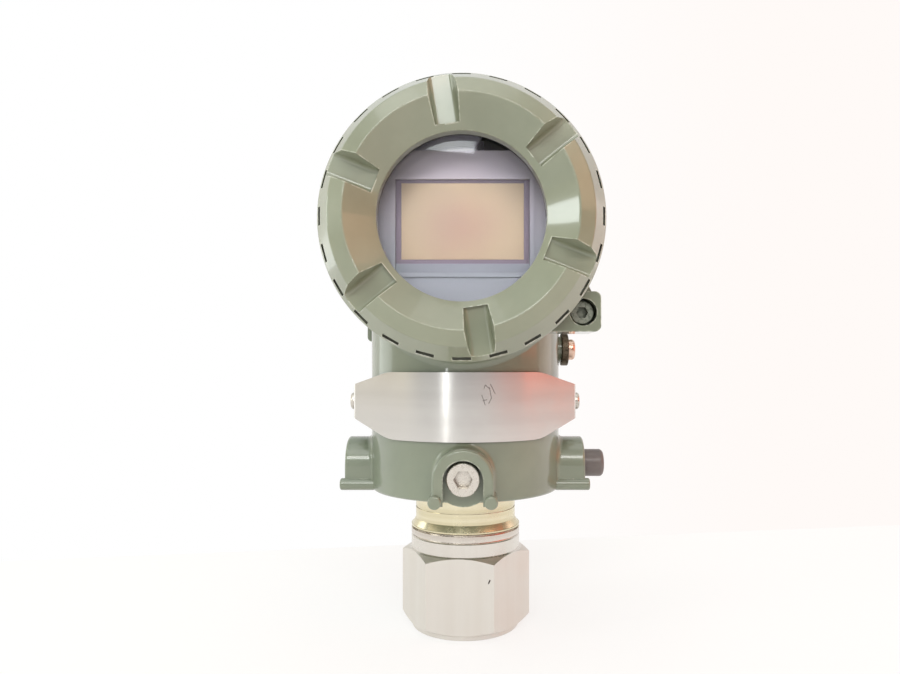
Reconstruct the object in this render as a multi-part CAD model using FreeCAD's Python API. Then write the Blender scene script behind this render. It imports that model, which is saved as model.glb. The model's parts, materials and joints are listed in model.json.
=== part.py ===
"""Gauge pressure transmitter with a display: a cast housing that turns on a hex process connection.

Millimetres. +Z is up, the display faces -Y, and the origin is the centre of the process port's mouth,
on the flat foot of the hex. Each sub-part is one STEP file in parts/.
"""
import FreeCAD, Part
import math
import os

V = FreeCAD.Vector

# ---------------------------------------------------------------- clearances
RUN = 0.10          # radial, a shaft or spigot that turns in its bore
FIT = 0.05          # radial, pieces of one body that are pushed or screwed together
PASS = 0.30         # between faces of two bodies that move past each other
THREAD_GAP = 0.30   # radial, between the plain stand-ins of the two cover threads
OVER = 1.0          # how far a cutting tool runs past the face it cuts

# ---------------------------------------------------------------- process connection
HEX_AF = 38.0           # across the flats
HEX_TURN = -4.5         # degrees that the front flat is turned about Z
HEX_TOP = 26.8
HEX_FACE_R = 18.4       # where the 30 degree turning of the corners meets the end faces
FOOT_R = 18.2
FOOT_H = 1.5
FOOT_ROUND = 0.4
CORNER_TURNING = 30.0   # degrees of the bevel turned on the hex's corners
PORT_R = 9.55           # mean wall of a 1/2 inch taper pipe thread
PORT_L = 17.0
PORT_CONE = 30.0        # degrees of the cone from the port to the passage
PASSAGE_R = 3.0
STACK_R = 18.5          # turned disc, ring and flange above the hex
DISC_TOP = 31.1
EDGE = 0.35             # small chamfer that shows as a fine groove between two pieces
ADAPTER_SPIGOT_R = 15.0
RING_H = 2.7
RING_GROOVE_W = 0.45     # narrow groove at each end of the spacer ring
RING_GROOVE_D = 0.8
POCKET_R = 12.6
POCKET_H = 2.2
DIAPHRAGM_R = 12.0
DIAPHRAGM_T = 0.3
DIAPHRAGM_RIM = 1.1
WAVE_H = 0.3
WAVES = 3

# ---------------------------------------------------------------- sensor body
FLANGE_T = 0.8
CONE_R = 18.2
CONE_H = 2.0
SPIGOT_R = 17.0
FINE_GROOVE_Z = 40.2
FINE_GROOVE_W = 0.6
FINE_GROOVE_D = 0.25
CLAMP_Z = 54.8          # height of the four arches, the clamp screws and the adjuster
CLAMP_GROOVE_R = 15.4
GROOVE_BEVEL = 1.0
SEAL_Z = 63.0
SEAL_GROOVE_W = 2.6
SEAL_SECTION_R = 0.9
SPIGOT_TOP = 67.0
SPIGOT_BEVEL = 1.0
FILL_R = 1.2
CHAMBER_R = 8.0
CHAMBER_Z = 43.0
SENSOR_H = 11.0
SENSOR_NECK_R = 6.0
SENSOR_NECK_H = 3.0
PIN_R = 0.45
PIN_CIRCLE = 4.0
PINS = 6
SENSOR_BOARD_R = 9.2
BOARD_T = 1.6
SOCKET_L = 8.0
SOCKET_W = 5.0
SOCKET_H = 4.0
SOCKET_WALL = 0.9

# ---------------------------------------------------------------- housing: neck
NECK_R = 32.0
NECK_BOTTOM = 46.8
NECK_EDGE = 1.0
NECK_WALL = 3.5
SEAT_GAP = 0.1          # under the shoulder that rests on the sensor body
FLOOR_T = 4.0
FLOOR_HOLE_R = 10.0
NECK_CAVITY_TOP = 93.0
ARCH_R = 9.1
ARCH_OPEN_R = 5.875
ARCH_FACE = 40.1        # distance of an arch's face from the neck's axis
ARCH_FLOOR = 31.9       # floor of an arch's pocket
ARCH_FOOT_UP = 0.6      # height of the feet of an arch above the foot of the neck
ARCH_FOOT = NECK_BOTTOM + ARCH_FOOT_UP
ARCH_ROUND = 0.8
BOSS_SUNK = 6.0         # how far a boss's root reaches into the neck's wall
ARCH_FILLET = 1.5       # between an arch and the neck
BEAD_R = 2.0
BEAD_SIDE = 8.2
BEAD_UP = 1.3           # centre of a bead above the arch's foot
BEAD_REACH = 1.5
BEAD_ROUND = 0.6

# ---------------------------------------------------------------- housing: drum
DRUM_Z = 128.1
DRUM_R = 38.5
DRUM_END = 47.0         # front and rear faces, at -Y and +Y
DRUM_EDGE = 0.5
DRUM_FILLET = 2.5
THREAD_R = 33.9         # cover skirt
CHAMBER_BORE_R = 31.5
BULKHEAD_HALF = 4.0
MOUTH_R = 36.1
MOUTH_D = 2.6
CONDUIT_BOSS_R = 14.0
CONDUIT_REACH = 46.0
CONDUIT_Y = 28.0
CONDUIT_UP = 3.4        # above the drum's axis
CONDUIT_ROUND = 1.2
CONDUIT_THROUGH = 5.0   # how far the entry's bore runs on into the chamber

# ---------------------------------------------------------------- housing: lock lugs
LUG_SIDE = 38.9
LUG_INNER = 20.0
LUG_BOTTOM = 97.7
LUG_TOP = 109.0
LUG_FACE = 46.0
LUG_DEPTH = 14.0
LUG_ROUND = 1.8
LUG_WEB_TOP = 114.0
LUG_WEB_T = 7.0
LUG_WEB_FOOT = 0.5      # in from the ear's side
LUG_WEB_HEAD = 3.6
LOCK_X = 33.9
LOCK_Z = 103.2
LOCK_POCKET_R = 3.8
LOCK_HEAD_R = 3.4
LOCK_HEAD_H = 4.4
LOCK_SUNK = 2.4
LOCK_SHANK_R = 2.0
LOCK_SHANK_L = 7.5
LOCK_HEX_AF = 3.0
LOCK_HEX_D = 2.4
LOCK_POCKET_D = 7.0

# ---------------------------------------------------------------- nameplate
PLATE_T = 0.8
PLATE_R = 33.0          # outer face of the curved front
PLATE_ARC = 40.0        # degrees each side of the front
PLATE_SIDE = 36.4       # outer faces of the two tabs
PLATE_LOW = 65.2
PLATE_HIGH = 86.2
TAB_LOW = 71.6
TAB_HIGH = 81.8
TAPER_X = 24.0
TAPER_ROUND = 12.0
TAB_END_Y = 0.0
PAD_Y = -6.0
PAD_Z = 76.4
PAD_HALF_Y = 4.5
PAD_HALF_Z = 4.6
PLATE_SCREW_HEAD_R = 2.8
PLATE_SCREW_HEAD_H = 1.9
PLATE_SCREW_R = 1.5
PLATE_SCREW_L = 5.0

# ---------------------------------------------------------------- ground terminal
GROUND_Y = 5.0
GROUND_Z = 93.9
GROUND_BOSS_R = 4.6
GROUND_FACE = 33.4
GROUND_WASHER_R = 5.6
GROUND_WASHER_T = 2.4
GROUND_HEAD_R = 3.6
GROUND_HEAD_H = 2.5
GROUND_SCREW_R = 2.0
GROUND_SCREW_L = 6.0
WASHER_EDGE = 0.3

# ---------------------------------------------------------------- clamp screws and adjuster
CLAMP_HEAD_R = 5.0
CLAMP_HEAD_H = 6.0
CLAMP_HEX_AF = 5.0
CLAMP_HEX_D = 3.2
CLAMP_SCREW_R = 3.0
HEAD_EDGE = 0.4         # on the socket heads
ADJUST_R = 4.65
ADJUST_REACH = 47.3
ADJUST_ROUND = 1.4
ADJUST_SHAFT_R = 3.0
ADJUST_SHAFT_IN = 20.5
ADJUST_SLOT_W = 1.2
ADJUST_SLOT_D = 1.4
ADJUST_SEAL_IN = 3.9     # middle of the adjuster's seal behind its pocket's floor
ADJUST_SEAL_X = ARCH_FLOOR - ADJUST_SEAL_IN
ADJUST_SEAL_GROOVE_R = 1.9
ADJUST_SEAL_W = 1.3
ADJUST_SEAL_SECTION_R = 0.45

# ---------------------------------------------------------------- covers
COVER_REACH = 62.0      # ridge of either cover from the neck's axis, along Y
FUNNEL_R = 22.8
FUNNEL_D = 6.65
RIDGE_R = 30.8
BEVEL_R = 35.1
BEVEL_D = 1.85
RIM_R = 39.0
RIM_D = 8.5
RIM_GAP = 0.6           # between a closed cover's rim and the drum
RIDGE_ROUND = 0.6
BEVEL_ROUND = 0.8
RIM_ROUND = 0.5
FUNNEL_ROUND = 0.4
SKIRT_L = 9.6
SKIRT_EDGE = 0.6
SKIRT_BORE_R = 30.4
SEAL_LAND_R = 33.3
SEAL_LAND_L = 2.9
COVER_SEAL_R = 34.7
COVER_SEAL_SECTION_R = 0.95
COVER_SEAL_D = 1.6      # behind the rim
BLANK_DISH_D = 2.6
BLANK_DISH_R = 27.0
BLANK_DISH_ROUND = 2.0
BLANK_T = 4.5
GRIPS = 6
GRIP_FIRST = 38.7       # degrees from +X, towards +Z
GRIP_FLOOR_HALF = 3.1
GRIP_TOP_HALF = 3.9
GRIP_D = 6.4
GRIP_INNER_R = 24.5
GRIP_ROOT = 1.2
RIM_POCKETS = 24
POCKET_INNER_R = 37.7
POCKET_OUTER_R = 38.45
POCKET_W = 5.0
POCKET_DEEP = 9.7

# ---------------------------------------------------------------- window
LIP_T = 3.0
WINDOW_BORE_R = 27.5
GASKET_T = 1.3
GASKET_R = 22.9
WINDOW_T = 5.0
GLASS_EDGE = 0.4
RETAINER_T = 2.2
RETAINER_R = 25.2
SPANNER_W = 2.4
SPANNER_D = 1.2

# ---------------------------------------------------------------- display
DISPLAY_GAP = 0.6       # between the window's retainer and the display's screw heads
CASE_R = 28.5
CASE_WALL = 1.5
CASE_ROUND = 0.6
ROOT = 0.5              # how deep a post, column or rib is let into its plate
DISPLAY_PLATE_T = 2.0
DISPLAY_CASE_L = 13.0
CASE_TOP = 21.0         # flat top of the display, above the drum's axis
CASE_TOP_HALF = 14.0
CASE_SHOULDER = 7.5     # where the bevelled corners run out into the round
BROW_STEP = 4.0         # ledge above the flat top, behind the display's front
BROW_T = 1.5
BROW_NOTCH_LOW = 22.0   # above the drum's axis
DISPLAY_RIM_W = 1.2     # raised rim round the screen
DISPLAY_RIM_H = 0.5
SCREEN_W = 38.0
SCREEN_H = 26.4
SCREEN_T = 3.0
SCREEN_SUNK = 0.4
SCREEN_Z = -0.4         # centre of the screen from the drum's axis
DISPLAY_BOARD_R = 23.0
POST_R = 2.0
DISPLAY_POST_CIRCLE = 16.5
DISPLAY_SCREW_CIRCLE = 25.4
DISPLAY_SCREW_R = 1.25
DISPLAY_HEAD_R = 2.3
DISPLAY_HEAD_H = 1.3
DISPLAY_COLUMN_R = 2.6
SCREW_REACH = 1.0       # of the display screws behind the amplifier case's plate

# ---------------------------------------------------------------- amplifier and terminals
AMP_PLATE_T = 3.0
AMP_BOARD_R = 26.5
AMP_POST_CIRCLE = 14.0
AMP_SCREW_CIRCLE = 21.5
AMP_SCREW_R = 1.5
AMP_HEAD_R = 2.6
AMP_HEAD_H = 2.0
AMP_SCREW_IN = 5.0
LEAD_NOTCH_LEFT = 3.0
LEAD_NOTCH_RIGHT = 17.0
LEAD_NOTCH_LOW = 23.5   # above the drum's axis
LEAD_NOTCH_SLANT = 4.5
LEAD_NOTCH_L = 10.0
CHIP_L = 14.0
CHIP_H = 3.0
NOTCH_GAP = 0.4         # round a screw or bushing that passes a board or block
FEED_R = 5.0
FEED_UP = 14.0
FEED_STICK = 3.0
FEED_PIN_R = 0.6
FEED_PIN_L = 3.0
FEED_PIN_PITCH = 3.0
BLOCK_R = 28.0
BLOCK_T = 9.0
BLOCK_ROUND = 1.0
RIB_T = 1.6
RIB_H = 6.0
RIB_L = 14.0
TERMINALS = 4
TERMINAL_PITCH = 11.0
TERMINAL_Z = -5.0
TERMINAL_R = 2.0
TERMINAL_HEAD_R = 3.6
TERMINAL_HEAD_H = 2.4
TERMINAL_L = 7.0
TERMINAL_PLATE = 8.0
TERMINAL_PLATE_T = 1.0
BLOCK_SCREW_X = 16.0
BLOCK_SCREW_Z = 18.0
BLOCK_SCREW_R = 1.5
BLOCK_HEAD_R = 2.8
BLOCK_HEAD_H = 2.0
BLOCK_SCREW_IN = 5.0

# ---------------------------------------------------------------- conduit plug
PLUG_PORT_R = 9.8       # left entry, tapped deeper than the open one so that its plug sits flush
PLUG_L = 13.0
PLUG_SUNK = 0.5
PLUG_EDGE = 0.5
PLUG_HEX_AF = 10.0
PLUG_HEX_D = 8.0

SIDES = {"front": -1, "rear": 1}
CONDUIT_Z = DRUM_Z + CONDUIT_UP


# ---------------------------------------------------------------- helpers
def corner_points(before, corner, after, radius):
    """Start, middle and end of the arc that rounds a corner."""
    to_before = (before - corner).normalize()
    to_after = (after - corner).normalize()
    half = to_before.getAngle(to_after) / 2.0
    reach = radius / math.tan(half)
    bisector = (to_before + to_after).normalize()
    middle = corner + bisector * (radius / math.sin(half) - radius)
    return corner + to_before * reach, middle, corner + to_after * reach


def outline(corners, place):
    """Closed wire through (a, b) or (a, b, radius) corners; place turns (a, b) into a point."""
    points = [place(corner[0], corner[1]) for corner in corners]
    edges = []
    stops = []
    for index, corner in enumerate(corners):
        if len(corner) == 3:
            before = points[index - 1]
            after = points[(index + 1) % len(points)]
            start, middle, end = corner_points(before, points[index], after, corner[2])
            stops.append((start, end))
            edges.append(Part.Arc(start, middle, end).toShape())
        else:
            stops.append((points[index], points[index]))
    for index, (_, end) in enumerate(stops):
        start = stops[(index + 1) % len(stops)][0]
        if end.distanceToPoint(start) > 1e-6:
            edges.append(Part.LineSegment(end, start).toShape())
    return Part.Wire(Part.__sortEdges__(edges))


def turned_z(corners):
    """Solid of (radius, z) corners turned about the Z axis."""
    face = Part.Face(outline(corners, lambda r, z: V(r, 0, z)))
    return face.revolve(V(0, 0, 0), V(0, 0, 1), 360)


def turned_y(corners, x=0.0, z=DRUM_Z):
    """Solid of (radius, y) corners turned about a line along Y."""
    face = Part.Face(outline(corners, lambda r, y: V(r, y, 0)))
    shape = face.revolve(V(0, 0, 0), V(0, 1, 0), 360)
    return moved(shape, V(x, 0, z))


def turned_x(corners, y=0.0, z=0.0):
    """Solid of (radius, x) corners turned about a line along X."""
    face = Part.Face(outline(corners, lambda r, x: V(x, r, 0)))
    shape = face.revolve(V(0, 0, 0), V(1, 0, 0), 360)
    return moved(shape, V(0, y, z))


def moved(shape, by):
    shape.translate(by)
    return shape


def spun(shape, degrees, about=V(0, 0, 0), axis=V(0, 0, 1)):
    """Copy of a shape turned about an axis."""
    copy = shape.copy()
    copy.rotate(about, axis, degrees)
    return copy


def rod(radius, start, end):
    """Cylinder from one point to another."""
    run = end - start
    return Part.makeCylinder(radius, run.Length, start, run)


def block(low, high):
    """Box between two corners."""
    size = high - low
    return Part.makeBox(size.x, size.y, size.z, low)


def hexagon(across_flats, length, start, along, turn=0.0):
    """Hexagonal prism; at turn 0 two corners lie along the prism's own first cross axis."""
    radius = across_flats / math.sqrt(3.0)
    angles = [math.radians(60 * step + turn) for step in range(6)]
    corners = [(radius * math.cos(a), radius * math.sin(a)) for a in angles]
    face = Part.Face(outline(corners, lambda a, b: V(a, b, 0)))
    prism = face.extrude(V(0, 0, length))
    prism.Placement = FreeCAD.Placement(start, FreeCAD.Rotation(V(0, 0, 1), along))
    return prism


def joined(first, *others):
    return first.fuse(list(others)).removeSplitter() if others else first


def around_drum(radius, degrees):
    """X and Z offsets from the drum's axis of a point at an angle from +X towards +Z."""
    angle = math.radians(degrees)
    return radius * math.cos(angle), radius * math.sin(angle)


def screw_along(start, along, head_r, head_h, shank_r, shank_l, head_round):
    """Screw whose head sits on start, with its shank against along; the head rises along it."""
    screw = turned_z([
        (0, -shank_l), (shank_r, -shank_l), (shank_r, 0), (head_r, 0),
        (head_r, head_h, head_round), (0, head_h)])
    screw.Placement = FreeCAD.Placement(start, FreeCAD.Rotation(V(0, 0, 1), along))
    return screw


def pan_screw(start, along, head_r, head_h, shank_r, shank_l):
    """Domed screw with a crossed recess, sized from its head."""
    screw = screw_along(start, along, head_r, head_h, shank_r, shank_l, head_h * 0.45)
    reach = head_r * 1.15
    width = head_r * 0.26
    depth = head_h * 0.5
    place = FreeCAD.Placement(start, FreeCAD.Rotation(V(0, 0, 1), along))
    for size_x, size_y in ((reach, width), (width, reach)):
        tool = Part.makeBox(size_x, size_y, depth + OVER, V(-size_x / 2, -size_y / 2, head_h - depth))
        tool.Placement = place.multiply(tool.Placement)
        screw = screw.cut(tool)
    return screw


def socket_screw(start, along, head, shank, hex_af, hex_d):
    """Cylinder-head screw with a hexagon socket; head and shank are (radius, length)."""
    screw = screw_along(start, along, head[0], head[1], shank[0], shank[1], HEAD_EDGE)
    face = start + along * (head[1] - hex_d)
    return screw.cut(hexagon(hex_af, hex_d + OVER, face, along))


# ---------------------------------------------------------------- process connection and sensor
RING_TOP = DISC_TOP + RING_H


def process_adapter():
    """Hex with a round foot, a turned disc above, the process port below and a passage between."""
    hexagon_body = hexagon(HEX_AF, HEX_TOP - FOOT_H, V(0, 0, FOOT_H), V(0, 0, 1), HEX_TURN)
    corner_r = HEX_AF / math.sqrt(3.0) + OVER
    slope = math.tan(math.radians(CORNER_TURNING)) * (corner_r - HEX_FACE_R)
    turning = turned_z([
        (0, FOOT_H), (HEX_FACE_R, FOOT_H), (corner_r, FOOT_H + slope),
        (corner_r, HEX_TOP - slope), (HEX_FACE_R, HEX_TOP), (0, HEX_TOP)])
    foot = turned_z([(0, 0), (FOOT_R, 0, FOOT_ROUND), (FOOT_R, FOOT_H + OVER), (0, FOOT_H + OVER)])
    top = turned_z([
        (0, HEX_TOP - OVER), (STACK_R, HEX_TOP - OVER), (STACK_R, DISC_TOP - EDGE),
        (STACK_R - EDGE, DISC_TOP), (ADAPTER_SPIGOT_R, DISC_TOP), (ADAPTER_SPIGOT_R, RING_TOP),
        (0, RING_TOP)])
    body = joined(hexagon_body.common(turning), foot, top)
    port_end = PORT_L + (PORT_R - PASSAGE_R) * math.tan(math.radians(PORT_CONE))
    bore = turned_z([
        (0, -OVER), (PORT_R, -OVER), (PORT_R, PORT_L), (PASSAGE_R, port_end),
        (PASSAGE_R, RING_TOP - POCKET_H), (POCKET_R, RING_TOP - POCKET_H), (POCKET_R, RING_TOP + OVER),
        (0, RING_TOP + OVER)])
    return body.cut(bore)


def spacer_ring():
    """Thin turned ring between the adapter and the sensor body, with a narrow groove at each end."""
    inner = ADAPTER_SPIGOT_R + FIT
    groove_r = STACK_R - RING_GROOVE_D
    return turned_z([
        (inner, DISC_TOP), (groove_r, DISC_TOP), (groove_r, DISC_TOP + RING_GROOVE_W),
        (STACK_R, DISC_TOP + RING_GROOVE_W), (STACK_R, RING_TOP - RING_GROOVE_W),
        (groove_r, RING_TOP - RING_GROOVE_W), (groove_r, RING_TOP), (inner, RING_TOP)])


def isolating_diaphragm():
    """Thin corrugated disc, its rim flat against the sensor body."""
    low = RING_TOP - WAVE_H - FIT
    top = [(0, low)]
    waved_r = DIAPHRAGM_R - DIAPHRAGM_RIM
    for wave in range(WAVES):
        top.append((waved_r * (wave + 0.5) / WAVES, RING_TOP - FIT))
        top.append((waved_r * (wave + 1) / WAVES, low))
    top.append((waved_r + WAVE_H, RING_TOP))
    top.append((DIAPHRAGM_R, RING_TOP))
    bottom = [(r, z - DIAPHRAGM_T) for r, z in reversed(top)]
    return turned_z(top + bottom)


def sensor_body():
    """Turned body: flange, cone, spigot in the housing's bore, grooves, and the sensor's chamber."""
    top_z = RING_TOP + FLANGE_T
    groove_half = CLAMP_SCREW_R + PASS
    groove_low = CLAMP_Z - groove_half
    groove_high = CLAMP_Z + groove_half
    seal_r = seal_groove_r()
    return turned_z([
        (FILL_R, RING_TOP), (STACK_R - EDGE, RING_TOP), (STACK_R, RING_TOP + EDGE), (STACK_R, top_z),
        (CONE_R, top_z), (SPIGOT_R, top_z + CONE_H),
        (SPIGOT_R, FINE_GROOVE_Z), (SPIGOT_R - FINE_GROOVE_D, FINE_GROOVE_Z),
        (SPIGOT_R - FINE_GROOVE_D, FINE_GROOVE_Z + FINE_GROOVE_W), (SPIGOT_R, FINE_GROOVE_Z + FINE_GROOVE_W),
        (SPIGOT_R, groove_low - GROOVE_BEVEL), (CLAMP_GROOVE_R, groove_low), (CLAMP_GROOVE_R, groove_high),
        (SPIGOT_R, groove_high + GROOVE_BEVEL),
        (SPIGOT_R, SEAL_Z - SEAL_GROOVE_W / 2), (seal_r, SEAL_Z - SEAL_GROOVE_W / 2),
        (seal_r, SEAL_Z + SEAL_GROOVE_W / 2), (SPIGOT_R, SEAL_Z + SEAL_GROOVE_W / 2),
        (SPIGOT_R, SPIGOT_TOP - SPIGOT_BEVEL), (SPIGOT_R - SPIGOT_BEVEL, SPIGOT_TOP),
        (CHAMBER_R, SPIGOT_TOP), (CHAMBER_R, CHAMBER_Z), (FILL_R, CHAMBER_Z)])


def seal_groove_r():
    """Floor of the neck O-ring's groove, so that the ring clears the housing's bore."""
    return SPIGOT_R + RUN - PASS - 2 * SEAL_SECTION_R - FIT


def neck_o_ring():
    centre = seal_groove_r() + FIT + SEAL_SECTION_R
    return moved(Part.makeTorus(centre, SEAL_SECTION_R), V(0, 0, SEAL_Z))


def pressure_sensor():
    """Sensor capsule on its header, with pins that reach the board."""
    head_top = CHAMBER_Z + SENSOR_H
    body = turned_z([
        (0, CHAMBER_Z), (CHAMBER_R - FIT, CHAMBER_Z), (CHAMBER_R - FIT, head_top), (SENSOR_NECK_R, head_top),
        (SENSOR_NECK_R, head_top + SENSOR_NECK_H), (0, head_top + SENSOR_NECK_H)])
    pins = []
    for step in range(PINS):
        angle = math.radians(360 / PINS * step)
        foot = V(PIN_CIRCLE * math.cos(angle), PIN_CIRCLE * math.sin(angle), head_top)
        pins.append(rod(PIN_R, foot, V(foot.x, foot.y, SPIGOT_TOP)))
    return joined(body, *pins)


def sensor_board():
    """Round board on top of the sensor body, its rim on the metal round the chamber."""
    return Part.makeCylinder(SENSOR_BOARD_R, BOARD_T, V(0, 0, SPIGOT_TOP))


def sensor_socket():
    base = SPIGOT_TOP + BOARD_T
    shell = block(V(-SOCKET_L / 2, -SOCKET_W / 2, base), V(SOCKET_L / 2, SOCKET_W / 2, base + SOCKET_H))
    inside_l = SOCKET_L / 2 - SOCKET_WALL
    inside_w = SOCKET_W / 2 - SOCKET_WALL
    hollow = block(V(-inside_l, -inside_w, base + SOCKET_WALL),
                   V(inside_l, inside_w, base + SOCKET_H + OVER))
    return shell.cut(hollow)


# ---------------------------------------------------------------- housing
def arch(degrees):
    """Boss shaped like an arch on the neck, open below; -Y at 0 degrees."""
    body = u_prism(ARCH_R, ARCH_FOOT, NECK_R - BOSS_SUNK, ARCH_FACE)
    rim = [edge for edge in body.Edges
           if edge.BoundBox.YMax < -ARCH_FACE + 0.01 and edge.BoundBox.ZMax > ARCH_FOOT + 0.1]
    return spun(body.makeFillet(ARCH_ROUND, rim), degrees)


def foot_beads(degrees):
    """The two round beads at an arch's feet."""
    tip = -ARCH_FACE - BEAD_REACH
    root = -NECK_R + BOSS_SUNK
    corners = [(0, tip), (BEAD_R, tip, BEAD_ROUND), (BEAD_R, root), (0, root)]
    beads = [turned_y(corners, side * BEAD_SIDE, ARCH_FOOT + BEAD_UP) for side in (-1, 1)]
    return [spun(bead, degrees) for bead in beads]


def u_prism(radius, foot, near, far):
    """Prism of an upside-down U at the clamp height, from near to far in front of the axis."""
    top = rod(radius, V(0, -near, CLAMP_Z), V(0, -far, CLAMP_Z))
    leg = block(V(-radius, -far, foot), V(radius, -near, CLAMP_Z))
    return joined(top, leg)


def arch_pocket(degrees):
    tool = u_prism(ARCH_OPEN_R, NECK_BOTTOM - BEAD_R - OVER, ARCH_FLOOR, ARCH_FACE + BEAD_REACH + OVER)
    return spun(tool, degrees)


def lock_lug():
    """Square ear beside the front cover's rim, with a sloped web above it."""
    back = -LUG_FACE + LUG_DEPTH
    corners = [
        (LUG_INNER, LUG_BOTTOM), (LUG_SIDE, LUG_BOTTOM, LUG_ROUND), (LUG_SIDE, LUG_TOP, LUG_ROUND),
        (LUG_INNER, LUG_TOP)]
    face = Part.Face(outline(corners, lambda x, z: V(x, -LUG_FACE, z)))
    ear = face.extrude(V(0, LUG_DEPTH, 0))
    web_corners = [
        (LUG_INNER, LUG_TOP - LUG_ROUND), (LUG_SIDE - LUG_WEB_FOOT, LUG_TOP - LUG_ROUND),
        (LUG_SIDE - LUG_WEB_HEAD, LUG_WEB_TOP), (LUG_INNER, LUG_WEB_TOP)]
    web_face = Part.Face(outline(web_corners, lambda x, z: V(x, back - LUG_WEB_T, z)))
    web = web_face.extrude(V(0, LUG_WEB_T, 0))
    return joined(ear, web)


def lock_pocket():
    """Counterbore and tapped hole of the front lock screw."""
    shoulder = -LUG_FACE + LOCK_POCKET_D
    pocket = rod(LOCK_POCKET_R, V(LOCK_X, -LUG_FACE - OVER, LOCK_Z), V(LOCK_X, shoulder, LOCK_Z))
    back = -LUG_FACE + LUG_DEPTH + OVER
    hole = rod(LOCK_SHANK_R + RUN, V(LOCK_X, shoulder - OVER, LOCK_Z), V(LOCK_X, back, LOCK_Z))
    return pocket.fuse(hole)


def housing_outside():
    """Neck, drum, conduit bosses, arches, lugs and pads, with no hollow yet."""
    neck = turned_z([(0, NECK_BOTTOM), (NECK_R, NECK_BOTTOM, NECK_EDGE), (NECK_R, DRUM_Z), (0, DRUM_Z)])
    drum = turned_y([
        (0, -DRUM_END), (DRUM_R, -DRUM_END, DRUM_EDGE), (DRUM_R, DRUM_END, DRUM_EDGE), (0, DRUM_END)])
    arches = [arch(quarter * 90) for quarter in range(4)]
    beads = [bead for quarter in range(4) for bead in foot_beads(quarter * 90)]
    neck = joined(neck, *arches)
    neck = neck.makeFillet(ARCH_FILLET, arch_seams(neck))
    body = joined(neck, drum)
    body = body.makeFillet(DRUM_FILLET, drum_seams(body))
    boss = turned_x([
        (0, -CONDUIT_REACH), (CONDUIT_BOSS_R, -CONDUIT_REACH, CONDUIT_ROUND),
        (CONDUIT_BOSS_R, CONDUIT_REACH, CONDUIT_ROUND), (0, CONDUIT_REACH)], CONDUIT_Y, CONDUIT_Z)
    pads = [name_pad(side) for side in (-1, 1)]
    ground = rod(GROUND_BOSS_R, V(NECK_R - BOSS_SUNK, GROUND_Y, GROUND_Z),
                 V(GROUND_FACE, GROUND_Y, GROUND_Z))
    lugs = [lock_lug(), spun(lock_lug(), 180)]
    return joined(body, boss, ground, *pads, *lugs, *beads)


def arch_seams(neck):
    """Edges where the arches meet the neck's wall, above their feet."""
    edges = []
    for edge in neck.Edges:
        ends = [math.hypot(vertex.X, vertex.Y) for vertex in edge.Vertexes]
        on_wall = max(abs(reach - NECK_R) for reach in ends) < 0.01
        box = edge.BoundBox
        above_foot = box.ZMin > ARCH_FOOT - 0.01 and box.ZMax < CLAMP_Z + ARCH_R + 0.01
        if on_wall and above_foot and box.ZLength > 0.5:
            edges.append(edge)
    return edges


def drum_seams(body):
    """Edges where the neck's wall meets the drum's underside."""
    edges = []
    for edge in body.Edges:
        box = edge.BoundBox
        above_foot = box.ZMin > NECK_BOTTOM + 2 * NECK_EDGE
        inside_ends = box.YMax < NECK_R + 0.01 and box.YMin > -NECK_R - 0.01
        curved = box.ZLength > 0.5 and box.YLength > 0.5 and box.XLength > 0.5
        if above_foot and inside_ends and curved:
            edges.append(edge)
    return edges


def name_pad(side):
    """Flat pad on the neck's side that carries a nameplate tab."""
    face_x = PLATE_SIDE - PLATE_T
    low = V(NECK_R - BOSS_SUNK, PAD_Y - PAD_HALF_Y, PAD_Z - PAD_HALF_Z)
    pad = block(low, V(face_x, PAD_Y + PAD_HALF_Y, PAD_Z + PAD_HALF_Z))
    return pad if side > 0 else pad.mirror(V(0, 0, 0), V(1, 0, 0))


def compartments():
    """Everything hollow inside: both threaded mouths, both chambers, the neck and its bores."""
    tools = []
    bore_r = THREAD_R + THREAD_GAP
    for sign in SIDES.values():
        end = sign * (DRUM_END + OVER)
        mouth = sign * (DRUM_END - MOUTH_D)
        thread_end = sign * (DRUM_END - SKIRT_L)
        wall = sign * BULKHEAD_HALF
        tools.append(turned_y([
            (0, end), (MOUTH_R, end), (MOUTH_R, mouth), (bore_r, mouth), (bore_r, thread_end),
            (CHAMBER_BORE_R, thread_end), (CHAMBER_BORE_R, wall), (0, wall)]))
    cavity_r = NECK_R - NECK_WALL
    floor = SPIGOT_TOP + SEAT_GAP + FLOOR_T
    neck = Part.makeCylinder(cavity_r, NECK_CAVITY_TOP - floor, V(0, 0, floor))
    riser = Part.makeCylinder(cavity_r, DRUM_Z - floor, V(0, 0, floor))
    front_half = block(V(-NECK_R, -NECK_R, floor), V(NECK_R, -BULKHEAD_HALF, DRUM_Z))
    tools.append(neck)
    tools.append(riser.common(front_half))
    tools.append(turned_z([
        (0, NECK_BOTTOM - OVER), (SPIGOT_R + RUN, NECK_BOTTOM - OVER),
        (SPIGOT_R + RUN, SPIGOT_TOP + SEAT_GAP),
        (FLOOR_HOLE_R, SPIGOT_TOP + SEAT_GAP), (FLOOR_HOLE_R, floor + OVER), (0, floor + OVER)]))
    return tools


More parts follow.
